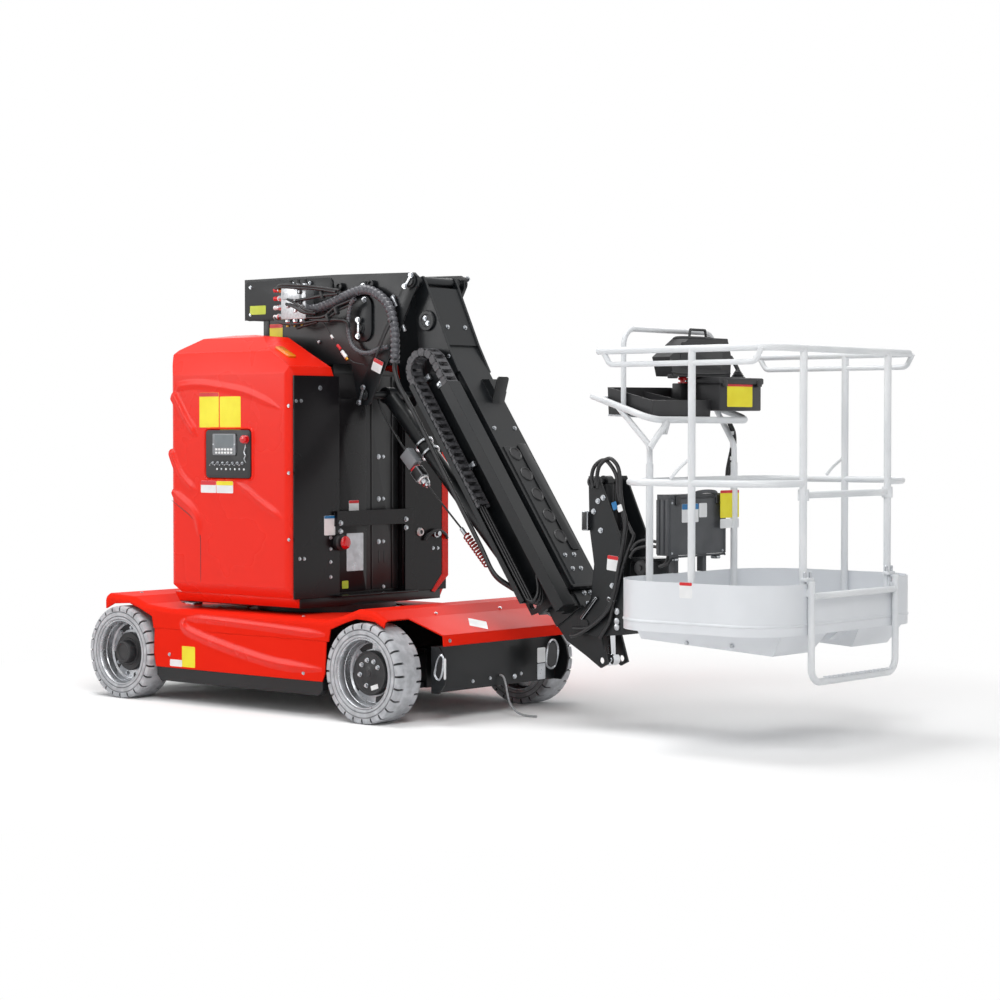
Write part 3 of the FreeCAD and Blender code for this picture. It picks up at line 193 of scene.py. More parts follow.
def surface(name, colour, shade, roughness, metallic=0.0, coat=0.0, mottle=180, grain=1.2, depth=0.06,
            rounding=0.0, spread=0.06, slot_shade_colour=None, gloss=0.5):
    """A finish whose colour drifts over `mottle` millimetres and whose skin is bumpy every `grain` of them."""
    finish = bpy.data.materials.new(name)
    finish.use_nodes = True
    tree = finish.node_tree
    tree.nodes.clear()
    place = put(tree, "ShaderNodeTexCoord").outputs["Object"]
    drift = put(tree, "ShaderNodeTexNoise", {"Vector": place, "Scale": 1000 / mottle, "Detail": 3.0})
    amount = put(tree, "ShaderNodeMapRange", {0: drift.outputs[0], 1: 0.3, 2: 0.7}, interpolation_type="SMOOTHSTEP")
    tint = put(tree, "ShaderNodeMix", {0: amount.outputs[0], 6: pigment(colour), 7: pigment(shade)},
               data_type="RGBA").outputs[2]
    # Where a mesh carries a shade weight, the colour darkens towards the given shade colour: painted shade in slots
    # and grooves.
    if slot_shade_colour:
        slot_shade = put(tree, "ShaderNodeAttribute", attribute_name="slot_shade")
        tint = put(tree, "ShaderNodeMix", {0: slot_shade.outputs["Fac"], 6: tint, 7: pigment(slot_shade_colour)},
                   data_type="RGBA").outputs[2]
    fine = put(tree, "ShaderNodeTexNoise", {"Vector": place, "Scale": 1000 / grain, "Detail": 2.0})
    polish = put(tree, "ShaderNodeMapRange",
                 {0: drift.outputs[0], 1: 0.1, 2: 0.9, 3: roughness - 2 * spread, 4: roughness + 2 * spread},
                 interpolation_type="SMOOTHSTEP")
    skin = put(tree, "ShaderNodeBump", {"Strength": 0.5, "Distance": depth / 1000, "Height": fine.outputs[0]})
    if rounding:
        edge = put(tree, "ShaderNodeBevel", {"Radius": rounding / 1000}, samples=4)
        tree.links.new(edge.outputs[0], skin.inputs["Normal"])
    body = put(tree, "ShaderNodeBsdfPrincipled",
               {"Base Color": tint, "Metallic": metallic, "Roughness": polish.outputs[0], "Coat Weight": coat,
                "Coat Roughness": 0.12, "Specular IOR Level": gloss, "Normal": skin.outputs[0]})
    put(tree, "ShaderNodeOutputMaterial", {"Surface": body.outputs[0]})
    return finish


# Stove enamel on sheet steel: bright, glossy and even, with a faint orange peel in its shine.
red_enamel = surface("red_stove_enamel", "#ee2614", "#ed2513", 0.28, coat=0.10, mottle=420, grain=2.5,
                     depth=0.03, rounding=9, spread=0.015, gloss=0.18)
# The same enamel on the pressed beads, whose flanks are too soft to need their edges eased.
bead_enamel = surface("enamel_on_pressed_beads", "#ee2614", "#ed2513", 0.28, coat=0.10, mottle=420,
                      grain=2.5, depth=0.03, spread=0.015, gloss=0.18)
# The same enamel on the deck, where feet and dust dull it: its level top shows hardly any of the room.
deck_enamel = surface("dulled_deck_enamel", "#ee2a18", "#ec2816", 0.42, coat=0.0, mottle=300,
                      grain=2.5, depth=0.05, rounding=9, spread=0.02, gloss=0.02)
# Powder coat on structural steel: near black, a soft sheen, and fine pebbling.
black_powder = surface("black_powder_coat", "#0f1113", "#15181b", 0.38, coat=0.06, mottle=260,
                       grain=1.6, depth=0.10, rounding=4, gloss=0.34)
# Powder coat on flat sheet panels: a touch browner and glossier, so that it mirrors the room softly.
panel_powder = surface("panel_powder_coat", "#0f0e10", "#151316", 0.30, coat=0.06, mottle=500,
                       grain=2.0, depth=0.05, rounding=3, gloss=0.24)
# Powder coat on the basket: pale grey, satin, so that its edges stay soft.
grey_powder = surface("pale_grey_powder_coat", "#e4e6e8", "#d9dcdf", 0.40, coat=0.12, mottle=300,
                      grain=1.6, depth=0.08, rounding=3)
# The same coat on the basket's tub, where it is sheet steel: a touch darker and flatter.
tub_powder = surface("tub_powder_coat", "#e4e7eb", "#dcdfe3", 0.42, coat=0.12, mottle=420, grain=1.6,
                     depth=0.06, rounding=3)
# Non-marking solid tyre rubber: matt pale grey, scuffed in cloudy patches, with painted shade inside its slots and
# along its sidewall grooves.
tyre_rubber = surface("grey_tyre_rubber", "#c3c5c9", "#a9abaf", 0.78, mottle=36, grain=1.1, depth=0.25,
                      slot_shade_colour="#3c3c3e")
# Silver wheel paint: a metallic lacquer, dull in the bowl of the wheel.
wheel_silver = surface("silver_wheel_paint", "#c4c6c9", "#aaacb0", 0.30, metallic=0.8, mottle=60,
                       grain=1.4, depth=0.05, rounding=1.5)
# Cast hub housing with thin paint: dark, with the grain of the sand mould. The same dark finish is painted shade on
# the plates that stand for the wheel bowl's openings.
hub_casting_and_hole_shade = surface("hub_casting_and_painted_hole_shade", "#232325", "#2f2f31", 0.5, metallic=0.1, mottle=40,
                      grain=2.2, depth=0.3, rounding=1.5)
# Zinc plated fasteners: bright with a bluish haze.
zinc = surface("zinc_plated_steel", "#c9ccd0", "#a8abaf", 0.32, metallic=1.0, mottle=9, grain=0.7,
               depth=0.05)
# Ground hard chrome on piston rods: mirror bright, with only a breath of haze.
hard_chrome = surface("hard_chrome", "#d6d8db", "#cfd1d4", 0.10, metallic=1.0, mottle=60, grain=0.5,
                      depth=0.01, spread=0.03)
# Milled aluminium block: pale, with dull machining haze.
milled_aluminium = surface("milled_aluminium", "#c6c8ca", "#b2b4b7", 0.36, metallic=0.9, mottle=14,
                           grain=0.6, depth=0.05, rounding=1)
# Brass unions on the hoses: warm yellow, with a bright turned skin.
brass = surface("brass_unions", "#c99b4a", "#b2833a", 0.3, metallic=1.0, mottle=8, grain=0.6, depth=0.03)
# Moulded ABS: black with a fine leathery mould grain.
black_abs = surface("moulded_black_abs", "#1d1d1f", "#262628", 0.48, mottle=120, grain=1.0,
                    depth=0.18, rounding=1.5)
# Glass filled nylon of the hose chain: dark grey, scuffed pale where links rub.
chain_nylon = surface("chain_nylon", "#3b3b3e", "#57575a", 0.5, mottle=16, grain=0.9, depth=0.12,
                      rounding=1)
# Hydraulic hose: smooth black rubber with the print of its cloth wrap.
hose_rubber = surface("hose_rubber", "#18181a", "#222224", 0.42, mottle=30, grain=1.3, depth=0.15)
# Polyethylene spiral guard: charcoal, waxy shine on each turn.
spiral_guard = surface("spiral_hose_guard", "#5d5d62", "#4c4c51", 0.30, mottle=24, grain=1.2, depth=0.08)
# Woven conducting strap: pale grey and matt, with a coarse weave.
strap_weave = surface("woven_earth_strap", "#b9babc", "#9fa0a3", 0.7, mottle=12, grain=1.4, depth=0.4)
# Dark rolled steel inside the mast: oiled sections that slide on each other.
mast_enamel = surface("oiled_mast_enamel", "#111214", "#18191b", 0.36, coat=0.05, mottle=160,
                      grain=1.5, depth=0.06, rounding=1.5)
# Cast iron ballast: rough and dark.
ballast = surface("cast_iron_ballast", "#2b2b2c", "#383839", 0.7, mottle=40, grain=4, depth=0.6, rounding=3)
# Vinyl sheet for the plain coloured patches: flat colour with a light gloss.
yellow_vinyl = surface("yellow_vinyl", "#f6ea1c", "#f0e016", 0.4, mottle=80, grain=1.5, depth=0.02)
white_vinyl = surface("white_vinyl", "#f1f2f2", "#e6e7e8", 0.4, mottle=80, grain=1.5, depth=0.02)
red_vinyl = surface("red_vinyl", "#d81f26", "#cc1a22", 0.4, mottle=80, grain=1.5, depth=0.02)
blue_vinyl = surface("blue_vinyl", "#1c78b4", "#176ca4", 0.4, mottle=80, grain=1.5, depth=0.02)
lime_vinyl = surface("lime_vinyl", "#c6dd3a", "#bad232", 0.4, mottle=80, grain=1.5, depth=0.02)
# Brushed foil of the blank data plates: dull silver.
silver_plate = surface("brushed_foil", "#b9bcc0", "#a9acb0", 0.34, metallic=0.8, mottle=40, grain=0.9,
                       depth=0.02)
# Moulded box of the ground controls and the limit sensor: mid grey.
unit_grey = surface("moulded_grey_abs", "#8a8d91", "#7e8185", 0.46, mottle=80, grain=1.0, depth=0.1,
                    rounding=1)
# Rotomoulded document case: dark grey, with an egg-shell skin.
case_grey = surface("rotomoulded_case", "#46484c", "#3e4043", 0.46, mottle=120, grain=1.8, depth=0.18,
                    rounding=3)
# Thin red cable skin of the coiled sensor lead.
red_lead = surface("red_lead_skin", "#b52a24", "#8f2a26", 0.4, mottle=20, grain=1.0, depth=0.02)
# Polished acrylic over the small screen: dark glassy grey.
screen_acrylic = surface("screen_acrylic", "#70787c", "#666e72", 0.12, coat=0.6, mottle=70, grain=2,
                         depth=0.0)
# Red acetal of the push buttons: moulded smooth, so that it shines.
button_red = surface("button_red_acetal", "#d3121b", "#c50f17", 0.25, coat=0.3, mottle=30, grain=1.5,
                     depth=0.02, rounding=1)
# Amber lens plastic: deep orange under a hard gloss.
amber_lens = surface("amber_lens", "#f08a1c", "#e27c12", 0.25, coat=0.4, mottle=30, grain=1.5, depth=0.02)


def dress(finish, *names):
    """Gives CAD nodes their finish."""
    for name in names:
        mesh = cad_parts[name].data
        mesh.materials.clear()
        mesh.materials.append(finish)


def dress_all():
    dress(deck_enamel, "deck_cover", "side_cover_right", "side_cover_left")
    dress(red_enamel, "pod_right", "pod_left")
    dress(black_powder, "chassis_frame", "side_sills", "front_bumper", "rear_bumper", "front_axle", "rear_axle",
          "slew_ring", "knuckle_right", "knuckle_left", "turret_base", "mast_head", "jib_outer", "jib_inner",
          "lift_barrel", "level_barrel", "level_arm", "basket_swivel", "chain_tray", "chain_tube", "rear_cover")
    dress(panel_powder, "front_plates", "mast_column")
    dress(mast_enamel, *("mast_stage_%d" % index for index in range(1, 7)))
    dress(grey_powder, "basket_rails", "entry_bar", "access_step", "console_frame")
    dress(tub_powder, "basket_floor")
    dress(case_grey, "document_case")
    dress(black_abs, "console_tray", "control_box", "console_hood", "battery_packs")
    dress(ballast, "counterweight")
    dress(hard_chrome, "lift_rod", "level_rod")


# ---------------------------------------------------------------- shaping

def square_to(way, up=Z):
    """A turn whose Z points along `way` and whose Y leans towards `up`."""
    way = Vector(way).normalized()
    side = Vector(up).cross(way)
    if side.length < 1e-4:
        side = Y.cross(way) if abs(way.dot(Y)) < 0.9 else X.cross(way)
    side.normalize()
    return Matrix((side, way.cross(side), way)).transposed()


def ease_edges(shape, faces, radius):
    """Rounds every edge of those faces, in millimetres."""
    if radius:
        edges = list(dict.fromkeys(edge for face in faces for edge in face.edges))
        bmesh.ops.bevel(shape, geom=edges, offset=radius / 1000, segments=2, affect="EDGES", profile=0.5)


def walled(shape, rows, mark=0, caps=True):
    """Joins rows of corners that follow each other with a wall, and closes its two ends."""
    faces = []
    for low, high in zip(rows, rows[1:]):
        for step in range(len(low)):
            after = (step + 1) % len(low)
            faces.append(shape.faces.new([low[step], low[after], high[after], high[step]]))
    if caps:
        faces += [shape.faces.new(rows[0][::-1]), shape.faces.new(rows[-1])]
    for face in faces:
        face.material_index = mark
    return faces


def block(shape, middle, size, soften=0.0, mark=0, turn=None):
    """A box of that size, in millimetres, with its edges softened."""
    made = bmesh.ops.create_cube(shape, size=1)["verts"]
    place = Matrix.Translation(placed(middle)) @ (turn or Matrix.Identity(3)).to_4x4()
    place = place @ Matrix.Diagonal((size[0] / 1000, size[1] / 1000, size[2] / 1000, 1))
    bmesh.ops.transform(shape, matrix=place, verts=made)
    faces = list(dict.fromkeys(face for corner in made for face in corner.link_faces))
    for face in faces:
        face.material_index = mark
    ease_edges(shape, faces, soften)


def lathe(shape, centre, way, outline, sides=48, mark=0, ends="filled"):
    """Turns an outline of (along, radius) pairs, in millimetres, about a line through the centre.

    Its ends are filled in to the axis, joined to each other or left open.
    """
    centre, turn = placed(centre), square_to(way)
    if ends == "filled":
        first, last = outline[0], outline[-1]
        outline = [(first[0], 0)] + outline + ([(last[0], 0)] if last[1] else [])
    rings = []
    for along, radius in outline:
        ring = []
        for step in range(sides if radius else 1):
            angle = math.tau * step / sides
            out = Vector((math.cos(angle) * radius / 1000, math.sin(angle) * radius / 1000, along / 1000))
            ring.append(shape.verts.new(centre + turn @ out))
        rings.append(ring)
    pairs = list(zip(rings, rings[1:])) + ([(rings[-1], rings[0])] if ends == "joined" else [])
    for low, high in pairs:
        for step in range(sides):
            after = (step + 1) % sides
            corners = [low[step % len(low)], low[after % len(low)], high[after % len(high)], high[step % len(high)]]
            kept = [corner for index, corner in enumerate(corners) if corner not in corners[:index]]
            if len(kept) > 2:
                shape.faces.new(kept).material_index = mark


def smooth_line(points, steps=10):
    """A rounded line through the points."""
    points = [placed(point) for point in points]
    ends = [points[0] * 2 - points[1]] + points + [points[-1] * 2 - points[-2]]
    line = []
    for before, start, end, after in zip(ends, ends[1:], ends[2:], ends[3:]):
        for step in range(steps):
            part = step / steps
            bend = 2 * before - 5 * start + 4 * end - after
            twist = 3 * start - before - 3 * end + after
            line.append(0.5 * (2 * start + (end - before) * part + bend * part ** 2 + twist * part ** 3))
    return line + [points[-1]]


def hose(shape, points, radius, sides=12, steps=10, mark=0, rib=None):
    """A hose along a rounded line.  rib gives a spiral guard's pitch and depth in millimetres."""
    line = smooth_line(points, steps)
    if rib:
        spaced, gap, left = [line[0]], rib[0] / 4000, 0.0
        for start, end in zip(line, line[1:]):
            run = (end - start).length
            while left + gap <= run:
                left += gap
                spaced.append(start.lerp(end, left / run))
            left -= run
        line = spaced
    across = square_to(line[1] - line[0]) @ X
    rings = []
    for index, middle in enumerate(line):
        ahead = (line[min(index + 1, len(line) - 1)] - line[max(index - 1, 0)]).normalized()
        across = (across - ahead * across.dot(ahead)).normalized()
        other = ahead.cross(across)
        size = radius / 1000
        if rib:
            size -= (0, 0, 0.4, 1)[index % 4] * rib[1] / 1000
        angles = [math.tau * step / sides for step in range(sides)]
        rings.append([shape.verts.new(middle + size * (across * math.cos(angle) + other * math.sin(angle)))
                      for angle in angles])
    walled(shape, rings, mark)


def sheet_metal(shape, corners, thick, mark=0, soften=0.0):
    """A flat plate: the corners in order round it, and its thickness in millimetres to one side."""
    corners = [placed(corner) for corner in corners]
    way = (corners[1] - corners[0]).cross(corners[2] - corners[0]).normalized() * thick / 1000
    low = [shape.verts.new(corner) for corner in corners]
    high = [shape.verts.new(corner + way) for corner in corners]
    ease_edges(shape, walled(shape, [low, high], mark), soften)


def finished(name, shape, finishes, body, sharp=40):
    """Makes the piece's object, gives it its finishes, and lets it ride on its body."""
    bmesh.ops.recalc_face_normals(shape, faces=shape.faces)
    mesh = bpy.data.meshes.new(name)
    for finish in finishes:
        mesh.materials.append(finish)
    shape.to_mesh(mesh)
    shape.free()
    return seated(name, mesh, body, sharp)


def seated(name, mesh, body, sharp=40):
    """Puts a finished mesh in the scene, smooth shaded, and on its body."""
    mesh.shade_smooth()
    mesh.set_sharp_from_angle(angle=math.radians(sharp))
    piece = bpy.data.objects.new(name, mesh)
    scene.collection.objects.link(piece)
    if body:
        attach(piece, body)
    return piece


# ---------------------------------------------------------------- things that repeat

def new_tree(name, sizes):
    """A tree that takes a shape, named sizes in metres and a finish, and gives back a shape."""
    tree = bpy.data.node_groups.new(name, "GeometryNodeTree")
    tree.interface.new_socket("Geometry", in_out="INPUT", socket_type="NodeSocketGeometry")
    for size in sizes:
        tree.interface.new_socket(size, in_out="INPUT", socket_type="NodeSocketFloat")
    tree.interface.new_socket("Finish", in_out="INPUT", socket_type="NodeSocketMaterial")
    tree.interface.new_socket("Geometry", in_out="OUTPUT", socket_type="NodeSocketGeometry")
    return tree, put(tree, "NodeGroupInput").outputs


def close_tree(tree, gather, finish):
    """Ends a tree: what it gathered becomes real and takes its finish."""
    real = put(tree, "GeometryNodeRealizeInstances", {0: gather})
    painted = put(tree, "GeometryNodeSetMaterial", {"Geometry": real.outputs[0], "Material": finish})
    put(tree, "NodeGroupOutput", {0: painted.outputs[0]})
    return tree


def bolt_tree():
    """Hexagon heads on washers, one at each point, standing the way the point faces."""
    tree, given = new_tree("hexagon_bolts", ("Head radius", "Head height"))
    wide = put(tree, "ShaderNodeMath", {0: given["Head radius"], 1: 1.35}, operation="MULTIPLY")
    thin = put(tree, "ShaderNodeMath", {0: given["Head height"], 1: 0.25}, operation="MULTIPLY")
    head = put(tree, "GeometryNodeMeshCylinder",
               {"Vertices": 6, "Radius": given["Head radius"], "Depth": given["Head height"]})
    lift = put(tree, "ShaderNodeMath", {0: given["Head height"], 1: 0.65}, operation="MULTIPLY")
    rise = put(tree, "ShaderNodeCombineXYZ", {"Z": lift.outputs[0]})
    raised = put(tree, "GeometryNodeTransform", {"Geometry": head.outputs["Mesh"], "Translation": rise.outputs[0]})
    washer = put(tree, "GeometryNodeMeshCylinder",
                 {"Vertices": 16, "Radius": wide.outputs[0], "Depth": thin.outputs[0]})
    bolt = put(tree, "GeometryNodeJoinGeometry")
    tree.links.new(raised.outputs[0], bolt.inputs[0])
    tree.links.new(washer.outputs["Mesh"], bolt.inputs[0])
    facing = put(tree, "GeometryNodeInputNamedAttribute", {"Name": "facing"}, data_type="FLOAT_VECTOR")
    stand = put(tree, "FunctionNodeAlignRotationToVector", {"Vector": facing.outputs[0]}, axis="Z")
    spots = put(tree, "GeometryNodeMeshToPoints", {"Mesh": given["Geometry"]})
    each = put(tree, "GeometryNodeInstanceOnPoints",
               {"Points": spots.outputs[0], "Instance": bolt.outputs[0], "Rotation": stand.outputs[0]})
    return close_tree(tree, each.outputs[0], given["Finish"])


def link_tree():
    """The links of a hose chain, one at each even step along a path in an upright plane."""
    tree, given = new_tree("chain_links", ("Pitch", "Width", "Height"))
    path = put(tree, "GeometryNodeMeshToCurve", {"Mesh": given["Geometry"]})
    even = put(tree, "GeometryNodeResampleCurve", {"Curve": path.outputs[0], "Length": given["Pitch"]}, mode="LENGTH")
    long = put(tree, "ShaderNodeMath", {0: given["Pitch"], 1: 1.12}, operation="MULTIPLY")
    wall = put(tree, "ShaderNodeCombineXYZ", {"X": long.outputs[0], "Y": 0.007, "Z": given["Height"]})
    side = put(tree, "GeometryNodeMeshCube", {"Size": wall.outputs[0]})
    short = put(tree, "ShaderNodeMath", {0: given["Pitch"], 1: 0.56}, operation="MULTIPLY")
    low = put(tree, "ShaderNodeMath", {0: given["Height"], 1: 0.84}, operation="MULTIPLY")
    tab = put(tree, "ShaderNodeCombineXYZ", {"X": short.outputs[0], "Y": 0.0125, "Z": low.outputs[0]})
    lug = put(tree, "GeometryNodeMeshCube", {"Size": tab.outputs[0]})
    ahead_by = put(tree, "ShaderNodeMath", {0: given["Pitch"], 1: 0.26}, operation="MULTIPLY")
    step = put(tree, "ShaderNodeCombineXYZ", {"X": ahead_by.outputs[0]})
    knuckle = put(tree, "GeometryNodeTransform", {"Geometry": lug.outputs[0], "Translation": step.outputs[0]})
    cheek_pair = put(tree, "GeometryNodeJoinGeometry")
    tree.links.new(side.outputs[0], cheek_pair.inputs[0])
    tree.links.new(knuckle.outputs[0], cheek_pair.inputs[0])
    half = put(tree, "ShaderNodeMath", {0: given["Width"], 1: 0.5, 2: -0.0035}, operation="MULTIPLY_ADD")
    bar_size = put(tree, "ShaderNodeCombineXYZ", {"X": 0.018, "Y": given["Width"], "Z": 0.005})
    bar = put(tree, "GeometryNodeMeshCube", {"Size": bar_size.outputs[0]})
    tall = put(tree, "ShaderNodeMath", {0: given["Height"], 1: 0.5, 2: -0.0024}, operation="MULTIPLY_ADD")
    link = put(tree, "GeometryNodeJoinGeometry")
    for sign in (-1, 1):
        out = put(tree, "ShaderNodeMath", {0: half.outputs[0], 1: sign}, operation="MULTIPLY")
        move = put(tree, "ShaderNodeCombineXYZ", {"Y": out.outputs[0]})
        cheek = put(tree, "GeometryNodeTransform",
                    {"Geometry": cheek_pair.outputs[0], "Translation": move.outputs[0]})
        up = put(tree, "ShaderNodeMath", {0: tall.outputs[0], 1: sign}, operation="MULTIPLY")
        climb = put(tree, "ShaderNodeCombineXYZ", {"Z": up.outputs[0]})
        rung = put(tree, "GeometryNodeTransform", {"Geometry": bar.outputs[0], "Translation": climb.outputs[0]})
        tree.links.new(cheek.outputs[0], link.inputs[0])
        tree.links.new(rung.outputs[0], link.inputs[0])
    ahead = put(tree, "GeometryNodeInputTangent")
    lie = put(tree, "FunctionNodeAlignRotationToVector", {"Vector": ahead.outputs[0]}, axis="X", pivot_axis="Y")
    each = put(tree, "GeometryNodeInstanceOnPoints",
               {"Points": even.outputs[0], "Instance": link.outputs[0], "Rotation": lie.outputs[0]})
    return close_tree(tree, each.outputs[0], given["Finish"])


def grown(name, tree, base, values, body, sharp=40):
    """Runs a tree on a base mesh and keeps what grows as a plain piece."""
    holder = bpy.data.objects.new(name + "_base", base)
    scene.collection.objects.link(holder)
    growth = holder.modifiers.new("growth", "NODES")
    growth.node_group = tree
    for item in tree.interface.items_tree:
        if item.in_out == "INPUT" and item.name in values:
            growth[item.identifier] = values[item.name]
    mesh = bpy.data.meshes.new_from_object(holder.evaluated_get(bpy.context.evaluated_depsgraph_get()))
    holder.modifiers.remove(growth)
    bpy.data.objects.remove(holder)
    mesh.name = name
    mesh.materials.clear()
    mesh.materials.append(values["Finish"])
    return seated(name, mesh, body, sharp)


HEX_BOLTS = bolt_tree()
CHAIN_LINKS = link_tree()


def bolts(name, body, places, radius=8, height=8, finish=zinc):
    """Bolts at (place, way) pairs, sizes in millimetres."""
    base = bpy.data.meshes.new(name + "_points")
    base.from_pydata([placed(place) for place, way in places], [], [])
    facing = base.attributes.new("facing", "FLOAT_VECTOR", "POINT")
    for entry, (place, way) in zip(facing.data, places):
        entry.vector = way
    return grown(name, HEX_BOLTS, base,
                 {"Head radius": radius / 1000, "Head height": height / 1000, "Finish": finish}, body, 30)


# ---------------------------------------------------------------- wheels

def tyre(corner, along, side):
    """A solid tyre with short slots let into both shoulders, staggered across it, with painted shade in the slots and
    the sidewall's grooves.
    """
    shape = bmesh.new()
    slot_shade = shape.verts.layers.float.new("slot_shade")
    half = [(67, 158), (72, 159), (75, 162), (75, 168), (72, 170), (72, 173), (75, 175), (75, 190), (72, 192),
            (72, 195), (75, 197), (75, 204), (75, 211), (73, 217), (67, 221), (58, 222), (40, 222), (38, 222),
            (20, 222)]
    outline = half + [(0, WHEEL)] + [(-out, radius) for out, radius in half[::-1]]
    centre = spot(along, side * TRACK, WHEEL)
    pitch, slot_half_width, slot_inner_end, slot_foot, shoulder = 15, 1.2, 39, 203, 215
    tread_depth, wall_depth, wall_groove = 11, 6, 72
    rings = []
    for angle in [count * pitch + part for count in range(24)
                  for part in (-1.35, -1.1, 1.1, 1.35, 3.75, 6.15, 6.4, 8.6, 8.85, 11.2)]:
        ring = []
        turn = math.radians(angle)
        for out, radius in outline:
            phase = (angle + (0 if out > 0 else pitch / 2)) % pitch
            deep = abs(out) > slot_inner_end and radius > slot_foot and min(phase, pitch - phase) < slot_half_width
            depth = (tread_depth if radius > shoulder else wall_depth) if deep else 0
            reach = (radius - depth) / 1000
            place = centre + Vector((math.cos(turn) * reach, side * out / 1000, math.sin(turn) * reach))
            corner_point = shape.verts.new(place)
            # Painted shade: full in the slots, about half in the sidewall's grooves.
            shaded_groove = abs(out) == wall_groove and radius > 165
            corner_point[slot_shade] = 1.0 if deep else (0.55 if shaded_groove else 0.0)
            ring.append(corner_point)
        rings.append(ring)
    walled(shape, rings + rings[:1], caps=False)
    piece = finished("tyre_" + corner + "_rubber", shape, [tyre_rubber], "wheel_" + corner, sharp=28)
    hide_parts("tyre_" + corner)


def rim(corner, along, side):
    """A silver wheel bowl round a black hub: a cup that sticks out at the driven rear wheels, flat at the front. Thin
    dark plates in the bowl are painted shade where its openings are.
    """
    silver, black, white = range(3)
    shape = bmesh.new()
    centre, out = spot(along, side * TRACK, WHEEL), Y * side
    bowl = [(66, 157.6), (69, 156), (69, 151), (64, 147), (30, 144), (2, 141), (-5, 134), (-5, 60), (-16, 60),
            (-16, 140), (-9, 147), (-60, 148), (-66, 151), (-66, 157.6)]
    lathe(shape, centre, out, bowl, 72, silver, ends="joined")
    lathe(shape, centre, out, [(30, 144.6), (33, 142), (37, 144.9)], 72, silver, "open")
    turn = square_to(out)
    if along < 0:
        cup = [(-9, 92), (12, 92), (16, 88), (16, 66), (20, 63), (20, 56), (52, 54), (56, 51), (57, 44), (54, 40),
               (50, 38)]
        nut_circle, nut_seat, nut_angles = 0.113, -0.0045, [math.tau * step / 9 + 0.2 for step in range(9)]
    else:
        cup = [(-9, 99), (24, 99), (28, 96), (28, 91), (25, 88), (25, 34), (29, 28), (31, 14), (34, 12)]
        nut_circle, nut_seat, nut_angles = 0.058, 0.0255, (0.5, 1.1, 1.8, 2.5, 3.3, 4.4)
    lathe(shape, centre, out, cup, 48, black)
    if along > 0:
        panel(shape, centre + turn @ Vector((-0.030 * side, -0.060, 0.025)), out, turn @ Vector((0.3 * side, 1, 0)),
              (44, 20), 2, 1, white)
    nuts = [(centre + turn @ Vector((nut_circle * math.cos(angle), nut_circle * math.sin(angle), nut_seat)), out)
            for angle in nut_angles]
    # Four thin dark plates inside the bowl stand for its openings: painted shade where the bowl is pierced.
    for step in range(4):
        middle = math.tau * step / 4 + 0.4
        rounds = ((0.132, (-0.34, -0.17, 0, 0.17, 0.34)), (0.106, (0.3, 0, -0.3)))
        corners = [(reach, middle + shift) for reach, shifts in rounds for shift in shifts]
        ring = [centre + turn @ Vector((reach * math.cos(angle), reach * math.sin(angle), -0.0049))
                for reach, angle in corners]
        sheet_metal(shape, ring, 0.8, black)
    piece = finished("rim_" + corner + "_bowl", shape, [wheel_silver, hub_casting_and_hole_shade, white_vinyl], "wheel_" + corner,
                     sharp=35)
    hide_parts("rim_" + corner)
    bolts("rim_" + corner + "_nuts", "wheel_" + corner, nuts, 8, 8, zinc)


def wheels():
    for corner, along, side in (("front_right", AXLE, RIGHT), ("front_left", AXLE, LEFT),
                                ("rear_right", -AXLE, RIGHT), ("rear_left", -AXLE, LEFT)):
        tyre(corner, along, side)
        rim(corner, along, side)


# ---------------------------------------------------------------- hose chain

def hose_chain():
    """The links of the chain that carries the hoses, from its tube round its turn and back."""
    upper, middle, lower, bend = -68, -146, -224, 78
    far_end, turn_at, pace, paces = 1066, 390, 12, 57
    line = [on_jib(far_end - step * pace, CHAIN_ACROSS, upper) for step in range(paces)]
    for step in range(1, 25):
        angle = math.pi * step / 25
        line.append(on_jib(turn_at - bend * math.sin(angle), CHAIN_ACROSS, middle + bend * math.cos(angle)))
    line += [on_jib(turn_at + step * pace, CHAIN_ACROSS, lower) for step in range(paces)]
    base = bpy.data.meshes.new("chain_path")
    base.from_pydata(line, [(index, index + 1) for index in range(len(line) - 1)], [])
    piece = grown("hose_chain_links", CHAIN_LINKS, base,
                  {"Pitch": 0.038, "Width": 0.074, "Height": 0.036, "Finish": chain_nylon}, "chain", 30)
    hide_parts("energy_chain")


# ---------------------------------------------------------------- small parts

WHITE, YELLOW, RED, BLUE, LIME, SILVER = range(6)
VINYLS = [white_vinyl, yellow_vinyl, red_vinyl, blue_vinyl, lime_vinyl, silver_plate]


def panel(shape, middle, way, up, size, corner=4.0, thick=1.0, mark=0, soften=0.0):
    """A plate with round corners that faces `way`, with its back at the middle given."""
    middle, turn = placed(middle), square_to(way, up)
    wide, tall = size[0] / 2 - corner, size[1] / 2 - corner
    ring = []
    for start, across, rise in ((0, wide, tall), (90, -wide, tall), (180, -wide, -tall), (270, wide, -tall)):
        for step in range(5 if corner else 1):
            angle = math.radians(start + step * 22.5)
            out = Vector((across + corner * math.cos(angle), rise + corner * math.sin(angle), 0))
            ring.append(middle + turn @ out / 1000)
    sheet_metal(shape, ring, thick, mark, soften)


def patches(name, body, rows):
    """Plain vinyl patches: where, which way they face and stand, their size, colour, and a band along the top."""
    shape = bmesh.new()
    for middle, way, up, size, colour, band in rows:
        panel(shape, middle, way, up, size, 5, 0.8, colour)
        if band:
            tone, share = band
            turn = square_to(way, up)
            high = placed(middle) + turn @ Vector((0, (1 - share) * size[1] / 2000 - 0.0005, 0.0006))
            panel(shape, high, way, up, (size[0] - 1, size[1] * share), 4, 0.7, tone)
    return finished(name, shape, VINYLS, body, sharp=30)


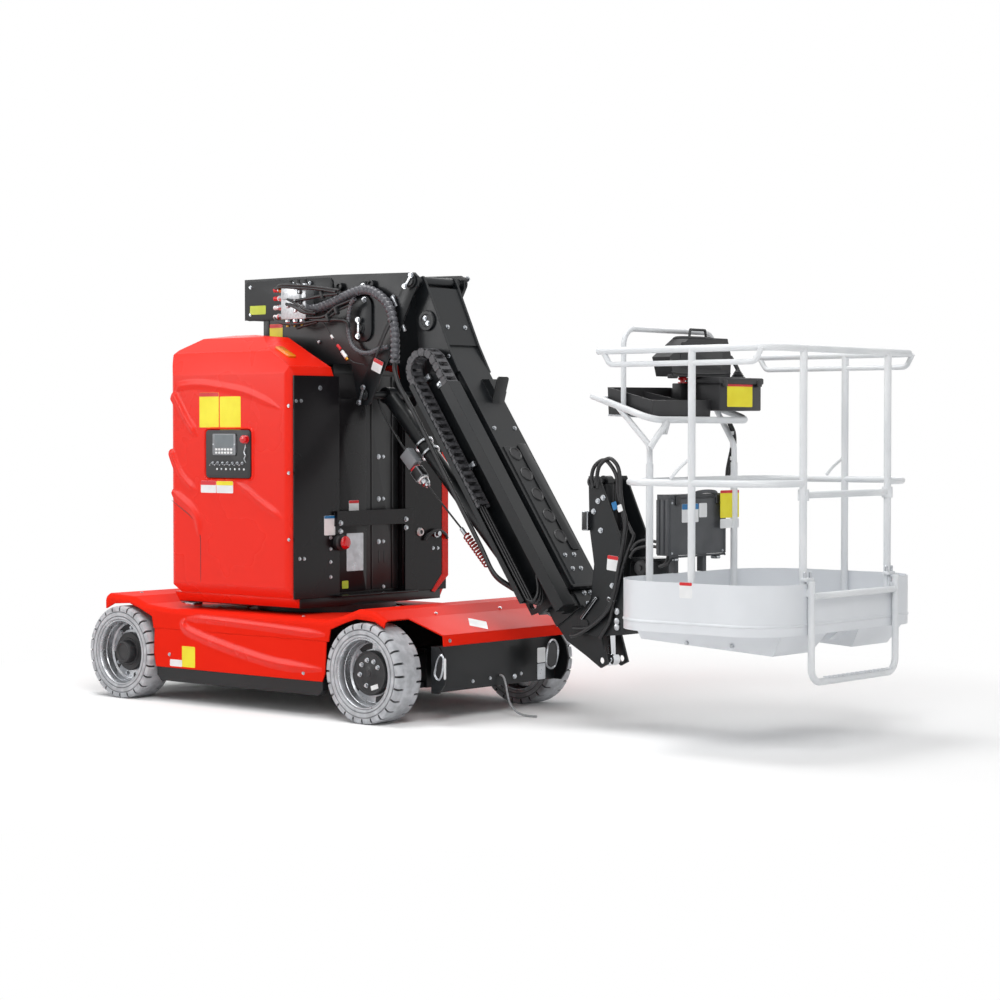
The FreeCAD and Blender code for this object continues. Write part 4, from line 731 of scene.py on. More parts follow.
BEAD = ((-0.5, -0.3), (-0.5, 0.0), (-0.42, 0.05), (-0.33, 0.18), (-0.22, 0.45), (-0.12, 0.78), (0, 1), (0.12, 0.78),
        (0.22, 0.45), (0.33, 0.18), (0.42, 0.05), (0.5, 0.0), (0.5, -0.3))


def bead(shape, points, way, width, height, mark=0, steps=8, ends=True):
    """A pressed bead: a low smooth rib that follows its points over a skin and dies away at its ends."""
    line = smooth_line(points, steps)
    way = Vector(way)
    rows = []
    for index, middle in enumerate(line):
        ahead = (line[min(index + 1, len(line) - 1)] - line[max(index - 1, 0)]).normalized()
        aside = way.cross(ahead).normalized()
        part = index / (len(line) - 1)
        full = min(1.0, 6 * part + 0.1, 6 * (1 - part) + 0.1) if ends else 1.0
        row = []
        for across, rise in BEAD:
            out = aside * width * across * full ** 0.5 + way * height * rise * full
            row.append(shape.verts.new(middle + out / 1000))
        rows.append(row)
    walled(shape, rows, mark)


def on_skin(node, start, way):
    """Where a straight line from the start first meets a CAD piece, and the way its skin faces there."""
    struck, place, facing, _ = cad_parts[node].ray_cast(placed(start), way)
    if not struck:
        raise ValueError("nothing of %s there" % node)
    return place, facing


def locked_pin(shape, heads, centre, way, radius, bar, reach=42):
    """The end of a pivot pin, the flat bar that keeps it from turning, and the bar's two bolts."""
    centre = placed(centre)
    lathe(shape, centre, way, [
        (-2, radius + 8), (2.5, radius + 8), (3.5, radius + 6.5), (3.5, radius), (9, radius), (11, radius - 2)], 32,
        0)
    bar = Vector(bar).normalized()
    block(shape, centre + way * 0.0135, (15, 2 * reach, 5), 1.5, 1, square_to(way, bar))
    for sign in (-1, 1):
        heads.append((centre + way * 0.016 + bar * sign * (reach - 9) / 1000, way))


def union(shape, centre, way, radius, length, marks):
    """A hose union: a hexagon, a collar and a ribbed tail."""
    lathe(shape, centre, way, [(0, radius), (length * 0.34, radius)], 6, marks[0])
    lathe(shape, centre, way, [
        (length * 0.3, radius * 0.8), (length * 0.5, radius * 0.8), (length * 0.54, radius * 0.62)], 20, marks[1])
    lathe(shape, centre, way, [
        (length * 0.5, radius * 0.72), (length * 0.66, radius * 0.72), (length * 0.68, radius * 0.6),
        (length * 0.8, radius * 0.6), (length * 0.82, radius * 0.7), (length, radius * 0.7)], 20, marks[2])


# ---------------------------------------------------------------- earth strap

def earth_strap():
    """The thin lead that earths the machine: it hangs from the bumper and trails over the floor."""
    route = [(0, 30, 186), (14, 30, 186), (26, 31, 170), (33, 34, 136), (37, 38, 100), (43, 44, 64), (60, 54, 32),
             (88, 68, 12), (124, 84, 5.2), (160, 98, 5.2)]
    line = bpy.data.curves.new("earth_strap_line", "CURVE")
    line.dimensions = "3D"
    line.bevel_depth = 0.005
    line.bevel_resolution = 4
    line.resolution_u = 16
    line.use_fill_caps = True
    run = line.splines.new("NURBS")
    run.points.add(len(route) - 1)
    for knot, (out, across, up) in zip(run.points, route):
        knot.co = (*spot(1062 + out, across, up), 1)
    run.order_u = 3
    run.use_endpoint_u = True
    line.materials.append(strap_weave)
    strap = bpy.data.objects.new("earth_strap_lead", line)
    scene.collection.objects.link(strap)
    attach(strap, "chassis")
    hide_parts("earth_strap")


# ---------------------------------------------------------------- chassis

def chassis_parts():
    """Swages of the side covers, screws, tie-down eyes with painted shade in their holes, the earth stud, blank
    patches, a white strip of painted highlight on the deck, and the deck's leads.
    """
    shape = bmesh.new()
    for side in (RIGHT, LEFT):
        out, face = Y * side, side * SIDE_FACE
        bead(shape, side_on(face, (
            (-352, 405), (-235, 409), (-60, 404), (221, 393), (420, 384), (560, 379))), out, 44, 5)
        bead(shape, side_on(face, (
            (-358, 402), (-372, 378), (-343, 351), (-260, 328), (-190, 311), (-5, 274), (220, 237), (380, 226),
            (540, 222))), out, 60, 9)
    finished("side_swages", shape, [bead_enamel], "chassis", sharp=50)
    heads = [on_skin("deck_cover", (along, across, 700), -Z) for along, across in (
        (376, 189), (352, 506), (376, -189), (352, -506), (560, 300), (560, -300), (900, 220), (900, -220),
        (-560, 300), (-560, -300), (-850, 420), (-850, -420))]
    heads += [on_skin("deck_cover", (1300, across, 372), -X) for across in (385, -385)]
    for side in (RIGHT, LEFT):
        heads += [((424, side * SIDE_FACE, 200), Y * side), ((-470, side * SIDE_FACE, 230), Y * side)]
    bolts("deck_screws", "chassis", heads, 6.5, 4)
    heads = [((BUMPER_FACE, across, up), X) for across, up in ((-250, 186), (-134, 191), (79, 195))]
    bolts("bumper_screws", "chassis", heads, 6, 4)
    shape, plate_across = bmesh.new(), 425
    for side in (RIGHT, LEFT):
        ring = [(1090, 205), (1078, 225), (1084, 255), (1096, 290), (1112, 312), (1128, 298), (1126, 260),
                (1118, 225), (1104, 204), (1090, 205)]
        bead(shape, side_on(side * plate_across, ring), Y * side, 9, 7, 0, 6, ends=False)
        # A dark plate inside each side eye stands for its hole: painted shade.
        panel(shape, (1104, side * plate_across, 258), Y * side, Z, (34, 86), 16, 1.5, 1)
    ring = [(263, 215), (256, 240), (266, 300), (290, 329), (322, 326), (340, 296), (336, 250), (318, 212),
            (290, 203), (263, 215)]
    bead(shape, face_on(BUMPER_FACE, ring), X, 9, 6, 0, 6, ends=False)
    # A dark plate inside the front eye stands for its hole: painted shade.
    panel(shape, (BUMPER_FACE, 298, 266), X, Z, (70, 112), 34, 1.5, 1)
    lathe(shape, (BUMPER_FACE, 30, 186), X, [(0, 12), (4, 12), (4, 9), (9, 9)], 6, 0)
    finished("tie_down_eyes", shape, [zinc, black_abs], "chassis")
    nose, facing = on_skin("deck_cover", (1040, -95, 700), -Z)
    # The narrow white strip on the deck is a painted highlight along a raised edge.
    deck_highlight_strip, deck_highlight_facing = on_skin("deck_cover", (462, 226, 700), -Z)
    rows = [(nose, facing, X + Y, (112, 84), WHITE, None), (deck_highlight_strip, deck_highlight_facing, X - Y, (86, 12), WHITE, None),
            ((BUMPER_FACE, 221, 268), X, Z, (56, 68), WHITE, None),
            ((BUMPER_FACE, 221, 194), X, Z, (56, 72), SILVER, None),
            ((1137, -plate_across, 252), -Y, Z, (13, 92), WHITE, None)]
    for side in (RIGHT, LEFT):
        rows += [((-337, side * SIDE_FACE, 226), Y * side, Z, (90, 98), YELLOW, None),
                 ((-424, side * SIDE_FACE, 192), Y * side, Z, (84, 32), WHITE, None)]
    patches("chassis_patches", "chassis", rows)
    shape = bmesh.new()
    for shift in (0, 26):
        hose(shape, [(-470, -250 + shift, 470), (-500, -300 + shift, 476), (-540, -340 + shift, 470),
                     (-600, -360 + shift, 458), (-650, -352 + shift, 452)], 7, 10, 6)
    panel(shape, (-560, -345, 446), Z, X, (60, 70), 6, 14, 1, 2)
    finished("deck_leads", shape, [hose_rubber, zinc], "chassis")


# ---------------------------------------------------------------- turret

def pod_parts():
    """Swages, the door's seam as a strip of painted shade, and the marker lamp of the two pods."""
    shape = bmesh.new()
    swages = (
        (((-470, 1470), (-439, 1496), (-338, 1503), (-225, 1495), (-15, 1466), (110, 1428), (229, 1385)), 54, 5),
        (((-497, 1466), (-483, 1447), (-447, 1398), (-411, 1349), (-368, 1300), (-325, 1261)), 66, 7),
        (((-505, 1200), (-499, 1173), (-466, 1112), (-427, 1066), (-380, 1030), (-327, 1004)), 56, 5),
        (((-505, 1000), (-442, 963), (-385, 930), (-345, 895), (-322, 850), (-318, 790)), 66, 7),
        (((-59, 1042), (24, 1000), (92, 959), (170, 920), (241, 886)), 60, 5))
    for side in (RIGHT, LEFT):
        for points, width, height in swages:
            bead(shape, side_on(side * POD_FACE, points), Y * side, width, height)
        # The door's seam is a thin dark strip of hose rubber: painted shade in the gap round the door.
        seam_shade_strip = side_on(side * POD_FACE, (
            (-508, 957), (-428, 914), (-371, 881), (-330, 843), (-308, 790), (-306, 700), (-306, 640), (-306, 575)))
        bead(shape, seam_shade_strip, Y * side, 4, 1.2, 1, 8)
    rim = [(-108, 1296), (20, 1296), (44, 1290), (50, 1266), (50, 1178), (50, 1090), (44, 1066), (20, 1060),
           (-108, 1060), (-236, 1060), (-262, 1066), (-268, 1090), (-268, 1178), (-268, 1266), (-262, 1290),
           (-236, 1296), (-108, 1296)]
    bead(shape, side_on(-POD_FACE, rim), -Y, 14, 9, 0, 4, ends=False)
    finished("pod_swages", shape, [bead_enamel, hose_rubber], "turret", sharp=50)
    heads = [((284, side * 531, up), Y * side) for side in (RIGHT, LEFT) for up in (1398, 1094, 792)]
    bolts("pod_screws", "turret", heads, 6, 4)
    shape = bmesh.new()
    for side in (RIGHT, LEFT):
        place, facing = on_skin("pod_right" if side < 0 else "pod_left", (150, side * 420, 1900), -Z)
        panel(shape, place - facing * 0.002, facing, X, (54, 104), 12, 12, 0, 4)
    finished("marker_lamps", shape, [amber_lens], "turret")


def turret_floor():
    """The turret's floor plate and hub, the red skirts under the pods, and the left pod's red front edge."""
    shape = bmesh.new()
    block(shape, (-107.5, 0, 498), (815, 950, 44), 2)
    lathe(shape, (0, 0, 466), Z, [(0, 330), (13, 330)], 72, 0)
    piece = finished("turret_floor_plate", shape, [black_powder], "turret")
    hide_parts("turret_base")
    shape = bmesh.new()
    for side in (RIGHT, LEFT):
        section = [(505, 524), (478, 480), (470, 477), (440, 477), (440, 524)]
        ring = [spot(-514, side * across, up) for across, up in section]
        sheet_metal(shape, ring if side < 0 else ring[::-1], 808, 0, 2)
    for edge in (((484, 594), (529, 585), (529, 1560), (484, 1560)),
                 ((408, 514), (430, 506), (529, 585), (484, 594))):
        sheet_metal(shape, face_on(PLATE_FACE, edge), 1.5, 0, 0)
    finished("pod_skirts", shape, [red_enamel], "turret")


def ground_controls():
    """The ground control panel: its bezel, a screen with keys, a stop button, toggles and a key switch."""
    black, grey, glass, red, bright, key = range(6)
    bezel, inset = -POD_FACE - 9, -POD_FACE - 15
    shape = bmesh.new()
    panel(shape, (-109, -POD_FACE, 1178), -Y, Z, (300, 222), 18, 8, black, 2)
    panel(shape, (-109, -538, 1178), -Y, Z, (284, 206), 14, 1.5, black, 0.6)
    panel(shape, (-128, -538, 1222), -Y, Z, (160, 104), 10, 7, grey, 2.5)
    panel(shape, (-128, inset, 1238), -Y, Z, (124, 58), 4, 1.2, glass)
    for row in range(2):
        for place in range(6):
            panel(shape, (-178 + place * 20, inset, 1199 - row * 15), -Y, Z, (16, 11), 2, 2, key, 0.5)
    for along, up in ((-200, 1222), (-56, 1222)):
        lathe(shape, (along, inset, up), -Y, [(-2, 4), (1.5, 4), (2, 3)], 14, bright)
    lathe(shape, (16, bezel, 1246), -Y, [
        (0, 19), (6, 19), (7, 17), (7, 10), (16, 10), (17, 17), (21, 19), (26, 17), (28, 10), (28.5, 0)], 32, red)
    for place in range(7):
        centre = spot(-206 + place * 33, bezel, 1136)
        lathe(shape, centre, -Y, [(0, 7.5), (4, 7.5), (4, 5), (9, 5)], 6, bright)
        stalk = [centre + Vector(reach)
                 for reach in ((0, -0.008, 0), (0.004, -0.022, -0.006), (0.006, -0.030, -0.010))]
        hose(shape, stalk, 2.6, 8, 3, bright)
        lathe(shape, (-180 + place * 30, bezel, 1108), -Y, [(0, 5), (2.5, 5), (3, 4)], 14,
              bright if place % 2 else key)
    hose(shape, [(12, -541, 1222), (16, -548, 1205), (9, -548, 1188), (17, -548, 1172), (10, -548, 1156),
                 (14, -541, 1140)], 2.4, 8, 6, bright)
    piece = finished("ground_control_unit", shape,
                     [black_abs, unit_grey, screen_acrylic, button_red, zinc, white_vinyl], "turret")
    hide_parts("ground_panel")


def front_parts():
    """What is on the turret's black front: mast cover, folded edges, stop button, latch, screws and patches."""
    shape = bmesh.new()
    for side in (RIGHT, LEFT):
        block(shape, (287, side * 236, 1030), (9, 35, 1008), 1.5)
        block(shape, (262, side * 224, 1030), (60, 4, 1008), 1)
    panel(shape, (262, -115, 985), X, Z, (202, 898), 6, 13, 0, 2)
    panel(shape, (262, 101, 1040), X, Z, (226, 1006), 3, 2.5, 1, 0.8)
    for across in (30, 172):
        block(shape, (266, across, 1040), (8, 9, 1004), 1.5, 1)
    for across in (82, 118):
        block(shape, (COVER_FACE, across, 690), (3, 6, 56), 1, 1)
    block(shape, (330, 0, 524), (50, 520, 8), 2)
    finished("mast_cover", shape, [panel_powder, mast_enamel], "turret")
    heads = [((324, across, up), X) for across, up in ((-238, 860), (-238, 822), (205, 866), (205, 826))]
    bolts("bar_bolts", "turret", heads, 9, 8)
    heads = [((PLATE_FACE, across, up), X) for across, up in (
        (-282, 793), (-282, 742), (-282, 682), (-282, 613), (-482, 704), (-453, 703), (-502, 1420), (-470, 1421),
        (421, 720), (454, 719), (470, 1420), (502, 1420))]
    heads += [((COVER_FACE, across, up), X) for across, up in ((112, 1163), (112, 964), (112, 762), (112, 548))]
    bolts("front_screws", "turret", heads, 6.5, 5)
    heads = [((PLATE_FACE, across, up), X) for across, up in ((-348, 1481), (348, 1481))]
    heads += [((COVER_FACE, 80, up), X) for up in (1163, 964, 762)]
    bolts("front_plugs", "turret", heads, 9, 5)
    shape = bmesh.new()
    lathe(shape, (PLATE_FACE, -230, 770), X, [(0, 37), (3, 38), (22, 38), (26, 34), (28, 22)], 40, 0)
    lathe(shape, (331, -230, 770), X, [
        (-4, 15), (9, 15), (11, 24), (13, 29), (18, 31), (23, 29), (27, 23), (29, 12), (29.5, 0)], 40, 1)
    piece = finished("turret_stop", shape, [black_abs, button_red], "turret")
    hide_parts("stop_button")
    shape = bmesh.new()
    lathe(shape, (PLATE_FACE, 326, 801), X, [(0, 20), (4, 20), (5, 17), (12, 17), (12, 11), (6, 10)], 28, 2)
    lathe(shape, (PLATE_FACE, 326, 801), X, [(5, 11), (11, 9)], 24, 0)
    hose(shape, [(311, 352, 762), (318, 372, 786), (322, 400, 800), (322, 432, 806), (322, 462, 800),
                 (319, 490, 786), (312, 512, 766)], 8, 12, 6)
    lathe(shape, (PLATE_FACE, 440, 790), X, [(0, 20), (10, 20), (12, 14), (26, 12)], 24, 1)
    finished("cover_latch", shape, [black_abs, zinc, white_vinyl], "turret")
    patches("front_patches", "turret", [
        ((PLATE_FACE, -288, 850), X, Z, (72, 90), WHITE, (BLUE, 0.14)),
        ((275, -99, 934), X, Z, (66, 54), WHITE, (RED, 0.24)), ((275, -92, 720), X, Z, (112, 176), SILVER, None),
        ((275, -158, 570), X, Z, (42, 36), LIME, None)])
    patches("pod_patches", "turret", [
        ((-244, -POD_FACE, 1382), -Y, Z, (132, 162), YELLOW, (RED, 0.11)),
        ((-101, -POD_FACE, 1366), -Y, Z, (140, 156), YELLOW, None),
        ((-250, -POD_FACE, 1024), -Y, Z, (104, 56), WHITE, (RED, 0.34)),
        ((-139, -POD_FACE, 1024), -Y, Z, (112, 56), WHITE, (YELLOW, 0.34))])


# ---------------------------------------------------------------- mast head

def manifold():
    """The valve manifold: a milled block with its unions, coils and plugs."""
    block_metal, bright, gold, red, white, black = range(6)
    shape = bmesh.new()
    block(shape, (5, -196, 1886), (164, 60, 156), 3, block_metal)
    block(shape, (-4, -230, 1930), (120, 10, 58), 2, block_metal)
    for along, up, size in ((50, 1935, 15), (56, 1890, 13), (20, 1850, 12), (-30, 1870, 10), (-50, 1930, 9)):
        lathe(shape, (along, -226, up), -Y, [
            (0, size), (7, size), (9, size - 3), (9, size * 0.5), (6, size * 0.45)], 6,
            black if size > 12 else bright)
    for row, up in enumerate((1955, 1915, 1872, 1829)):
        for rank, across in enumerate((-184, -210)):
            marks = ((bright, red, white), (gold, bright, red), (bright, white, red), (bright, bright, white))
            union(shape, (-77, across, up - 6 * rank), -X, 15, 58, marks[(row + rank) % 4])
    for along in (-40, 10, 55):
        union(shape, (along, -196, 1964), Z, 12, 30, (bright, black, black))
    for along in (-50, 0, 45):
        union(shape, (along, -205, 1808), -Z, 13, 34, (bright, red, gold))
    piece = finished("valve_manifold", shape, [milled_aluminium, zinc, brass, red_vinyl, white_vinyl, black_abs],
                     "mast_6", sharp=35)
    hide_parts("valve_block")


def head_parts():
    """Plates, pins, clamps, hoses and leads on the mast head."""
    shape = bmesh.new()
    heads, strap_face, strap_thick = [], 166, 9
    panel(shape, (-86, -HEAD_FACE, 1905), -Y, Z, (590, 188), 30, 6, 0, 1.5)
    panel(shape, (398, -HEAD_FACE, 1802), -Y, Z, (130, 216), 52, 12, 0, 2)
    panel(shape, (-235, -HEAD_FACE, 1735), -Y, Z, (40, 150), 4, 3, 0, 1)
    strap_way = (spot(705, 0, 1962) - spot(412, 0, 1450)).normalized()
    for side in (RIGHT, LEFT):
        out = Y * side
        turn = square_to(out, strap_way)
        strap = []
        for along, up, reach, start in ((705, 1962, 0.038, -80), (412, 1450, 0.05, 100)):
            for step in range(9):
                angle = math.radians(start + step * 20) * -side
                strap.append(spot(along, side * strap_face, up)
                             + turn @ Vector((math.sin(angle), math.cos(angle), 0)) * reach)
        sheet_metal(shape, strap, strap_thick, 0, 1.5)
        locked_pin(shape, heads, (705, side * (strap_face + 10), 1962), out, 24, (0.63, 0, 0.78), 40)
        locked_pin(shape, heads, (412, side * (strap_face + 10), 1450), out, 19, (0.36, 0, 0.93), 46)
    locked_pin(shape, heads, (395, -178, 1757), -Y, 18, (0, 0, 1), 46)
    for along, up in ((262, 1952), (463, 1956)):
        lathe(shape, (along, -160, up), -Y, [(0, 19), (24, 19), (26, 17), (26, 13), (18, 12)], 28, 0)
    lathe(shape, (415, -166, 1950), -Y, [(0, 22), (14, 22), (15, 20)], 28, 0)
    finished("head_plates", shape, [black_powder, zinc], "mast_6", sharp=35)
    heads += [((420, -177, 1887), -Y), ((589, -166, 1890), -Y), ((415, -181, 1950), -Y)]
    small = [((along, -171, up), -Y) for along, up in (
        (-52, 1978), (-12, 1978), (62, 1978), (-340, 1972), (-340, 1842), (180, 1842), (-51, 1690), (120, 1700))]
    bolts("head_bolts", "mast_6", heads, 10, 8)
    bolts("head_screws", "mast_6", small, 6, 5)
    shape = bmesh.new()
    for along, across, up, tall in ((608, -176, 1872, 54), (662, -172, 1750, 30)):
        block(shape, (along, across, up), (16, 10, tall), 2, 0, Matrix.Rotation(-0.5, 3, "Y"))
    finished("head_clamps", shape, [zinc], "mast_6")

    shape = bmesh.new()
    guard = side_on(-196, (
        (88, 1852), (150, 1858), (252, 1884), (350, 1916), (440, 1932), (520, 1908), (590, 1852), (620, 1772),
        (630, 1691), (628, 1588)))
    hose(shape, guard, 23, 18, 12, rib=(24, 4.6))
    piece = finished("wrapped_hoses", shape, [spiral_guard], "mast_6", sharp=50)
    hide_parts("head_hose")
    shape = bmesh.new()
    hose(shape, [(400, -222, 1890), (368, -214, 1862), (346, -205, 1800), (342, -200, 1738), (362, -200, 1682),
                 (412, -200, 1648), (476, -200, 1642), (545, -200, 1662), (592, -200, 1666)], 11, 14, 12, 1,
         (15, 2.2))
    leads = (((-135, -210, 1955), (-60, -236, 1962), (60, -244, 1952), (165, -238, 1944), (291, -232, 1925)),
             ((-135, -184, 1949), (-70, -240, 1970), (80, -246, 1962), (190, -240, 1950), (310, -230, 1932)),
             ((-24, -236, 1902), (40, -246, 1880), (95, -244, 1852), (150, -236, 1838)),
             ((-30, -236, 1880), (30, -248, 1866), (90, -246, 1838), (160, -232, 1830)),
             ((105, -236, 1812), (213, -236, 1814), (281, -230, 1853), (340, -226, 1872), (402, -222, 1890)),
             ((120, -230, 1802), (230, -232, 1806), (300, -226, 1840), (352, -220, 1858), (404, -220, 1878)),
             ((164, -236, 1798), (240, -232, 1796), (300, -226, 1797), (345, -216, 1785), (350, -210, 1760)),
             ((-135, -210, 1829), (-100, -232, 1800), (0, -240, 1784), (110, -238, 1790), (190, -232, 1800)),
             ((0, -205, 1778), (30, -222, 1766), (90, -230, 1776), (170, -230, 1790)),
             ((30, -230, 1894), (120, -236, 1902), (220, -236, 1912), (300, -228, 1916)))
    for index, points in enumerate(leads):
        hose(shape, points, 5.5 if index % 3 else 7.5, 10, 8)
    for along, up in ((208, 1914), (246, 1806), (300, 1838)):
        block(shape, (along, -236, up), (12, 24, 34), 2, 2, Matrix.Rotation(-0.4, 3, "Y"))
    hose(shape, [(626, -214, 1787), (577, -216, 1705), (528, -214, 1623)], 5, 10, 4)
    finished("head_leads", shape, [hose_rubber, spiral_guard, black_abs], "mast_6", sharp=50)
    shape = bmesh.new()
    hose(shape, [(208, -230, 1788), (242, -232, 1749), (266, -232, 1717), (295, -230, 1686), (319, -230, 1664),
                 (348, -226, 1629), (385, -214, 1600), (440, -200, 1588)], 3, 8, 8)
    down = (spot(348, -226, 1629) - spot(266, -232, 1717)).normalized()
    for along, up, length, radius, mark in (
            (258, 1726, 20, 6, 1), (300, 1681, 30, 7, 2), (328, 1651, 40, 9, 1), (356, 1620, 14, 8, 3)):
        lathe(shape, (along, -231, up), down, [
            (0, radius - 1), (1, radius), (length - 1, radius), (length, radius - 1)], 16, mark)
    finished("pressure_lead", shape, [hose_rubber, white_vinyl, red_vinyl, brass], "mast_6")
    patches("head_patches", "mast_6", [
        ((-170, -166, 1752), -Y, Z, (88, 80), YELLOW, (RED, 0.22)),
        ((-290, -171, 1862), -Y, Z, (108, 42), LIME, None),
        ((500, -176, 1582), -Y, Vector((0.38, 0, 0.92)), (62, 58), WHITE, (RED, 0.3))])


def jib_hoses():
    """Two smooth hoses that leave the wrapped bundle and run down under the chain's tray to the jib's foot."""
    shape = bmesh.new()
    for across, shift in ((-188, 0), (-206, 15)):
        run = [(626, across, 1602), (622, across, 1560), (634, across, 1520), (655, across, 1476),
               (700, across, 1416), (756, across, 1338), (812, across, 1256), (971, across, 1019),
               (1138, across, 772), (1215, across, 655), (1262, across + 50, 600), (1296, across + 120, 560)]
        hose(shape, [(along + shift * 0.8, place, up + shift * 0.6) for along, place, up in run], 10, 12, 10)
    piece = finished("jib_supply_hoses", shape, [hose_rubber], None, sharp=50)
    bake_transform(piece)


# ---------------------------------------------------------------- jib and lift cylinder

def on_jib_top(down, across, node="jib_outer"):
    """Where the jib's upper skin is at that place, and the way it faces."""
    return on_skin(node, on_jib(down, across, 300), -JIB_RISE)


def jib_parts():
    """Web plate, hole plugs, cover plates, clamps and bolts on the jib, and the hoses that go on from the chain."""
    shape = bmesh.new()
    block(shape, on_jib(950, -119, -160), (1140, 3, 166), 1, 1, JIB_TURN)
    for down, across in ((921, -22), (1030, -19), (1137, -17), (1249, -14), (1357, -11)):
        place, facing = on_jib_top(down, across)
        lathe(shape, place, facing, [(-2, 36), (1.5, 36), (5, 33), (5.5, 29), (2, 26)], 36, 0)
    for down, across, long, wide in ((618, 46, 182, 78), (1150, 46, 560, 60)):
        place, facing = on_jib_top(down, across)
        panel(shape, place, facing, -JIB_RUN, (wide, long), 14, 7, 1, 2)
    for side in (RIGHT, LEFT):
        place, facing = on_skin("jib_outer", on_jib(175, side * 400, -62), -Y * side)
        lathe(shape, place, facing, [(-2, 47), (9, 47), (13, 44), (13, 30), (9, 27)], 36, 1)
    finished("jib_plugs", shape, [black_abs, black_powder], "jib")
    shape = bmesh.new()
    for shift in (-18, 0, 18):
        run = [on_jib(down, CHAIN_ACROSS + shift, -224) for down in (1030, 1130, 1230, 1330, 1430, 1505, 1538)]
        run += [on_jib(1566 + shift * 0.4, CHAIN_ACROSS + shift, -222),
                on_jib(1586 + shift * 0.4, -168 + shift, -200),
                on_jib(1570 + shift * 0.4, -158 + shift * 0.8, -174), on_jib(1530, -146 + shift * 0.6, -160),
                on_jib(1480, -134 + shift * 0.5, -150)]
        hose(shape, run, 7, 12, 8)
    finished("chain_hoses", shape, [hose_rubber], "jib", sharp=50)
    heads = [on_jib_top(down, across) for down, across in (
        (1453, -46), (1453, 16), (1523, -42), (1524, 14), (240, -60), (240, 60), (780, -70), (780, 70))]
    heads += [on_skin("jib_outer", (along, side * 400, up), -Y * side) for along, up in (
        (1345, 700), (1385, 640), (1271, 760), (880, 1620)) for side in (RIGHT, LEFT)]
    for side in (RIGHT, LEFT):
        place, facing = on_skin("jib_outer", on_jib(175, side * 400, -62), -Y * side)
        heads += [(place + facing * 0.009 + JIB_RUN * shift, facing) for shift in (-0.014, 0.014)]
    bolts("jib_bolts", "jib", heads, 8, 6)
    shape = bmesh.new()
    for down, off in ((400, -192), (468, -146), (875, -192)):
        block(shape, on_jib(down, -132, off), (26, 20, 34), 3, 0, JIB_TURN)
        lathe(shape, on_jib(down, -142, off), -Y, [(0, 8), (8, 8)], 6, 0)
    finished("chain_clamps", shape, [zinc], "jib")
    heads = [on_jib_top(down, across, "jib_inner")
             for down, across in ((1636, -23), (1636, 18), (1690, -33), (1690, 12))]
    bolts("slide_bolts", "jib_slide", heads, 9, 7)


LIFT_RUN = Vector((0.699, 0, -0.715)).normalized()
LIFT_RISE = Vector((0.715, 0, 0.699)).normalized()
LIFT_TURN = Matrix((LIFT_RUN, Y, LIFT_RISE)).transposed()


def on_lift(along, across, off):
    """A place measured along the lift cylinder from its upper pin, across it, and off its axis."""
    return spot(408, across, 1450) + (LIFT_RUN * along + LIFT_RISE * off) / 1000


def lift_parts():
    """The limit sensor strapped to the lift cylinder, with its leads."""
    grey, bright, white, red, black = range(5)
    shape = bmesh.new()
    block(shape, on_lift(345, -58, -68), (86, 44, 62), 4, grey, LIFT_TURN)
    block(shape, on_lift(432, -62, -76), (62, 46, 54), 5, black, LIFT_TURN)
    for along, mark in ((398, red), (465, white)):
        lathe(shape, on_lift(along, -62, -76), LIFT_RUN, [(0, 26), (7, 26)], 24, mark)
    lathe(shape, on_lift(472, -62, -76), LIFT_RUN, [(0, 20), (22, 20), (26, 12), (38, 12)], 20, bright)
    for along in (317, 373):
        lathe(shape, on_lift(along, 0, 0), LIFT_RUN, [(-5, 40), (-5, 47), (5, 47), (5, 40)], 36, bright, "joined")
    hose(shape, [on_lift(-40, -60, -6), on_lift(40, -78, -20), on_lift(110, -74, -38), on_lift(210, -66, -56),
                 on_lift(305, -60, -66)], 5, 10, 8, black)
    hose(shape, [on_lift(508, -62, -76), on_lift(600, -64, -70), on_lift(700, -67, -63), on_lift(800, -70, -56)],
         4.5, 10, 6, black)
    lathe(shape, on_lift(790, -70, -57), LIFT_RUN, [(0, 10), (38, 10), (40, 7)], 16, bright)
    finished("limit_sensor", shape, [unit_grey, zinc, white_vinyl, red_vinyl, hose_rubber], "lift_barrel")
    shape = bmesh.new()
    start, reach, turns, per_turn, coil_radius, lead_radius = 828, 185, 11, 10, 15, 4
    coil = []
    for step in range(turns * per_turn + 1):
        angle = math.tau * step / per_turn
        along = start + reach * step / (turns * per_turn)
        coil.append(on_lift(along, -70 + coil_radius * math.cos(angle), -57 + coil_radius * math.sin(angle)))
    hose(shape, coil, lead_radius, 8, 1)
    finished("coiled_lead", shape, [red_lead], "lift_barrel", sharp=60)


# ---------------------------------------------------------------- arm

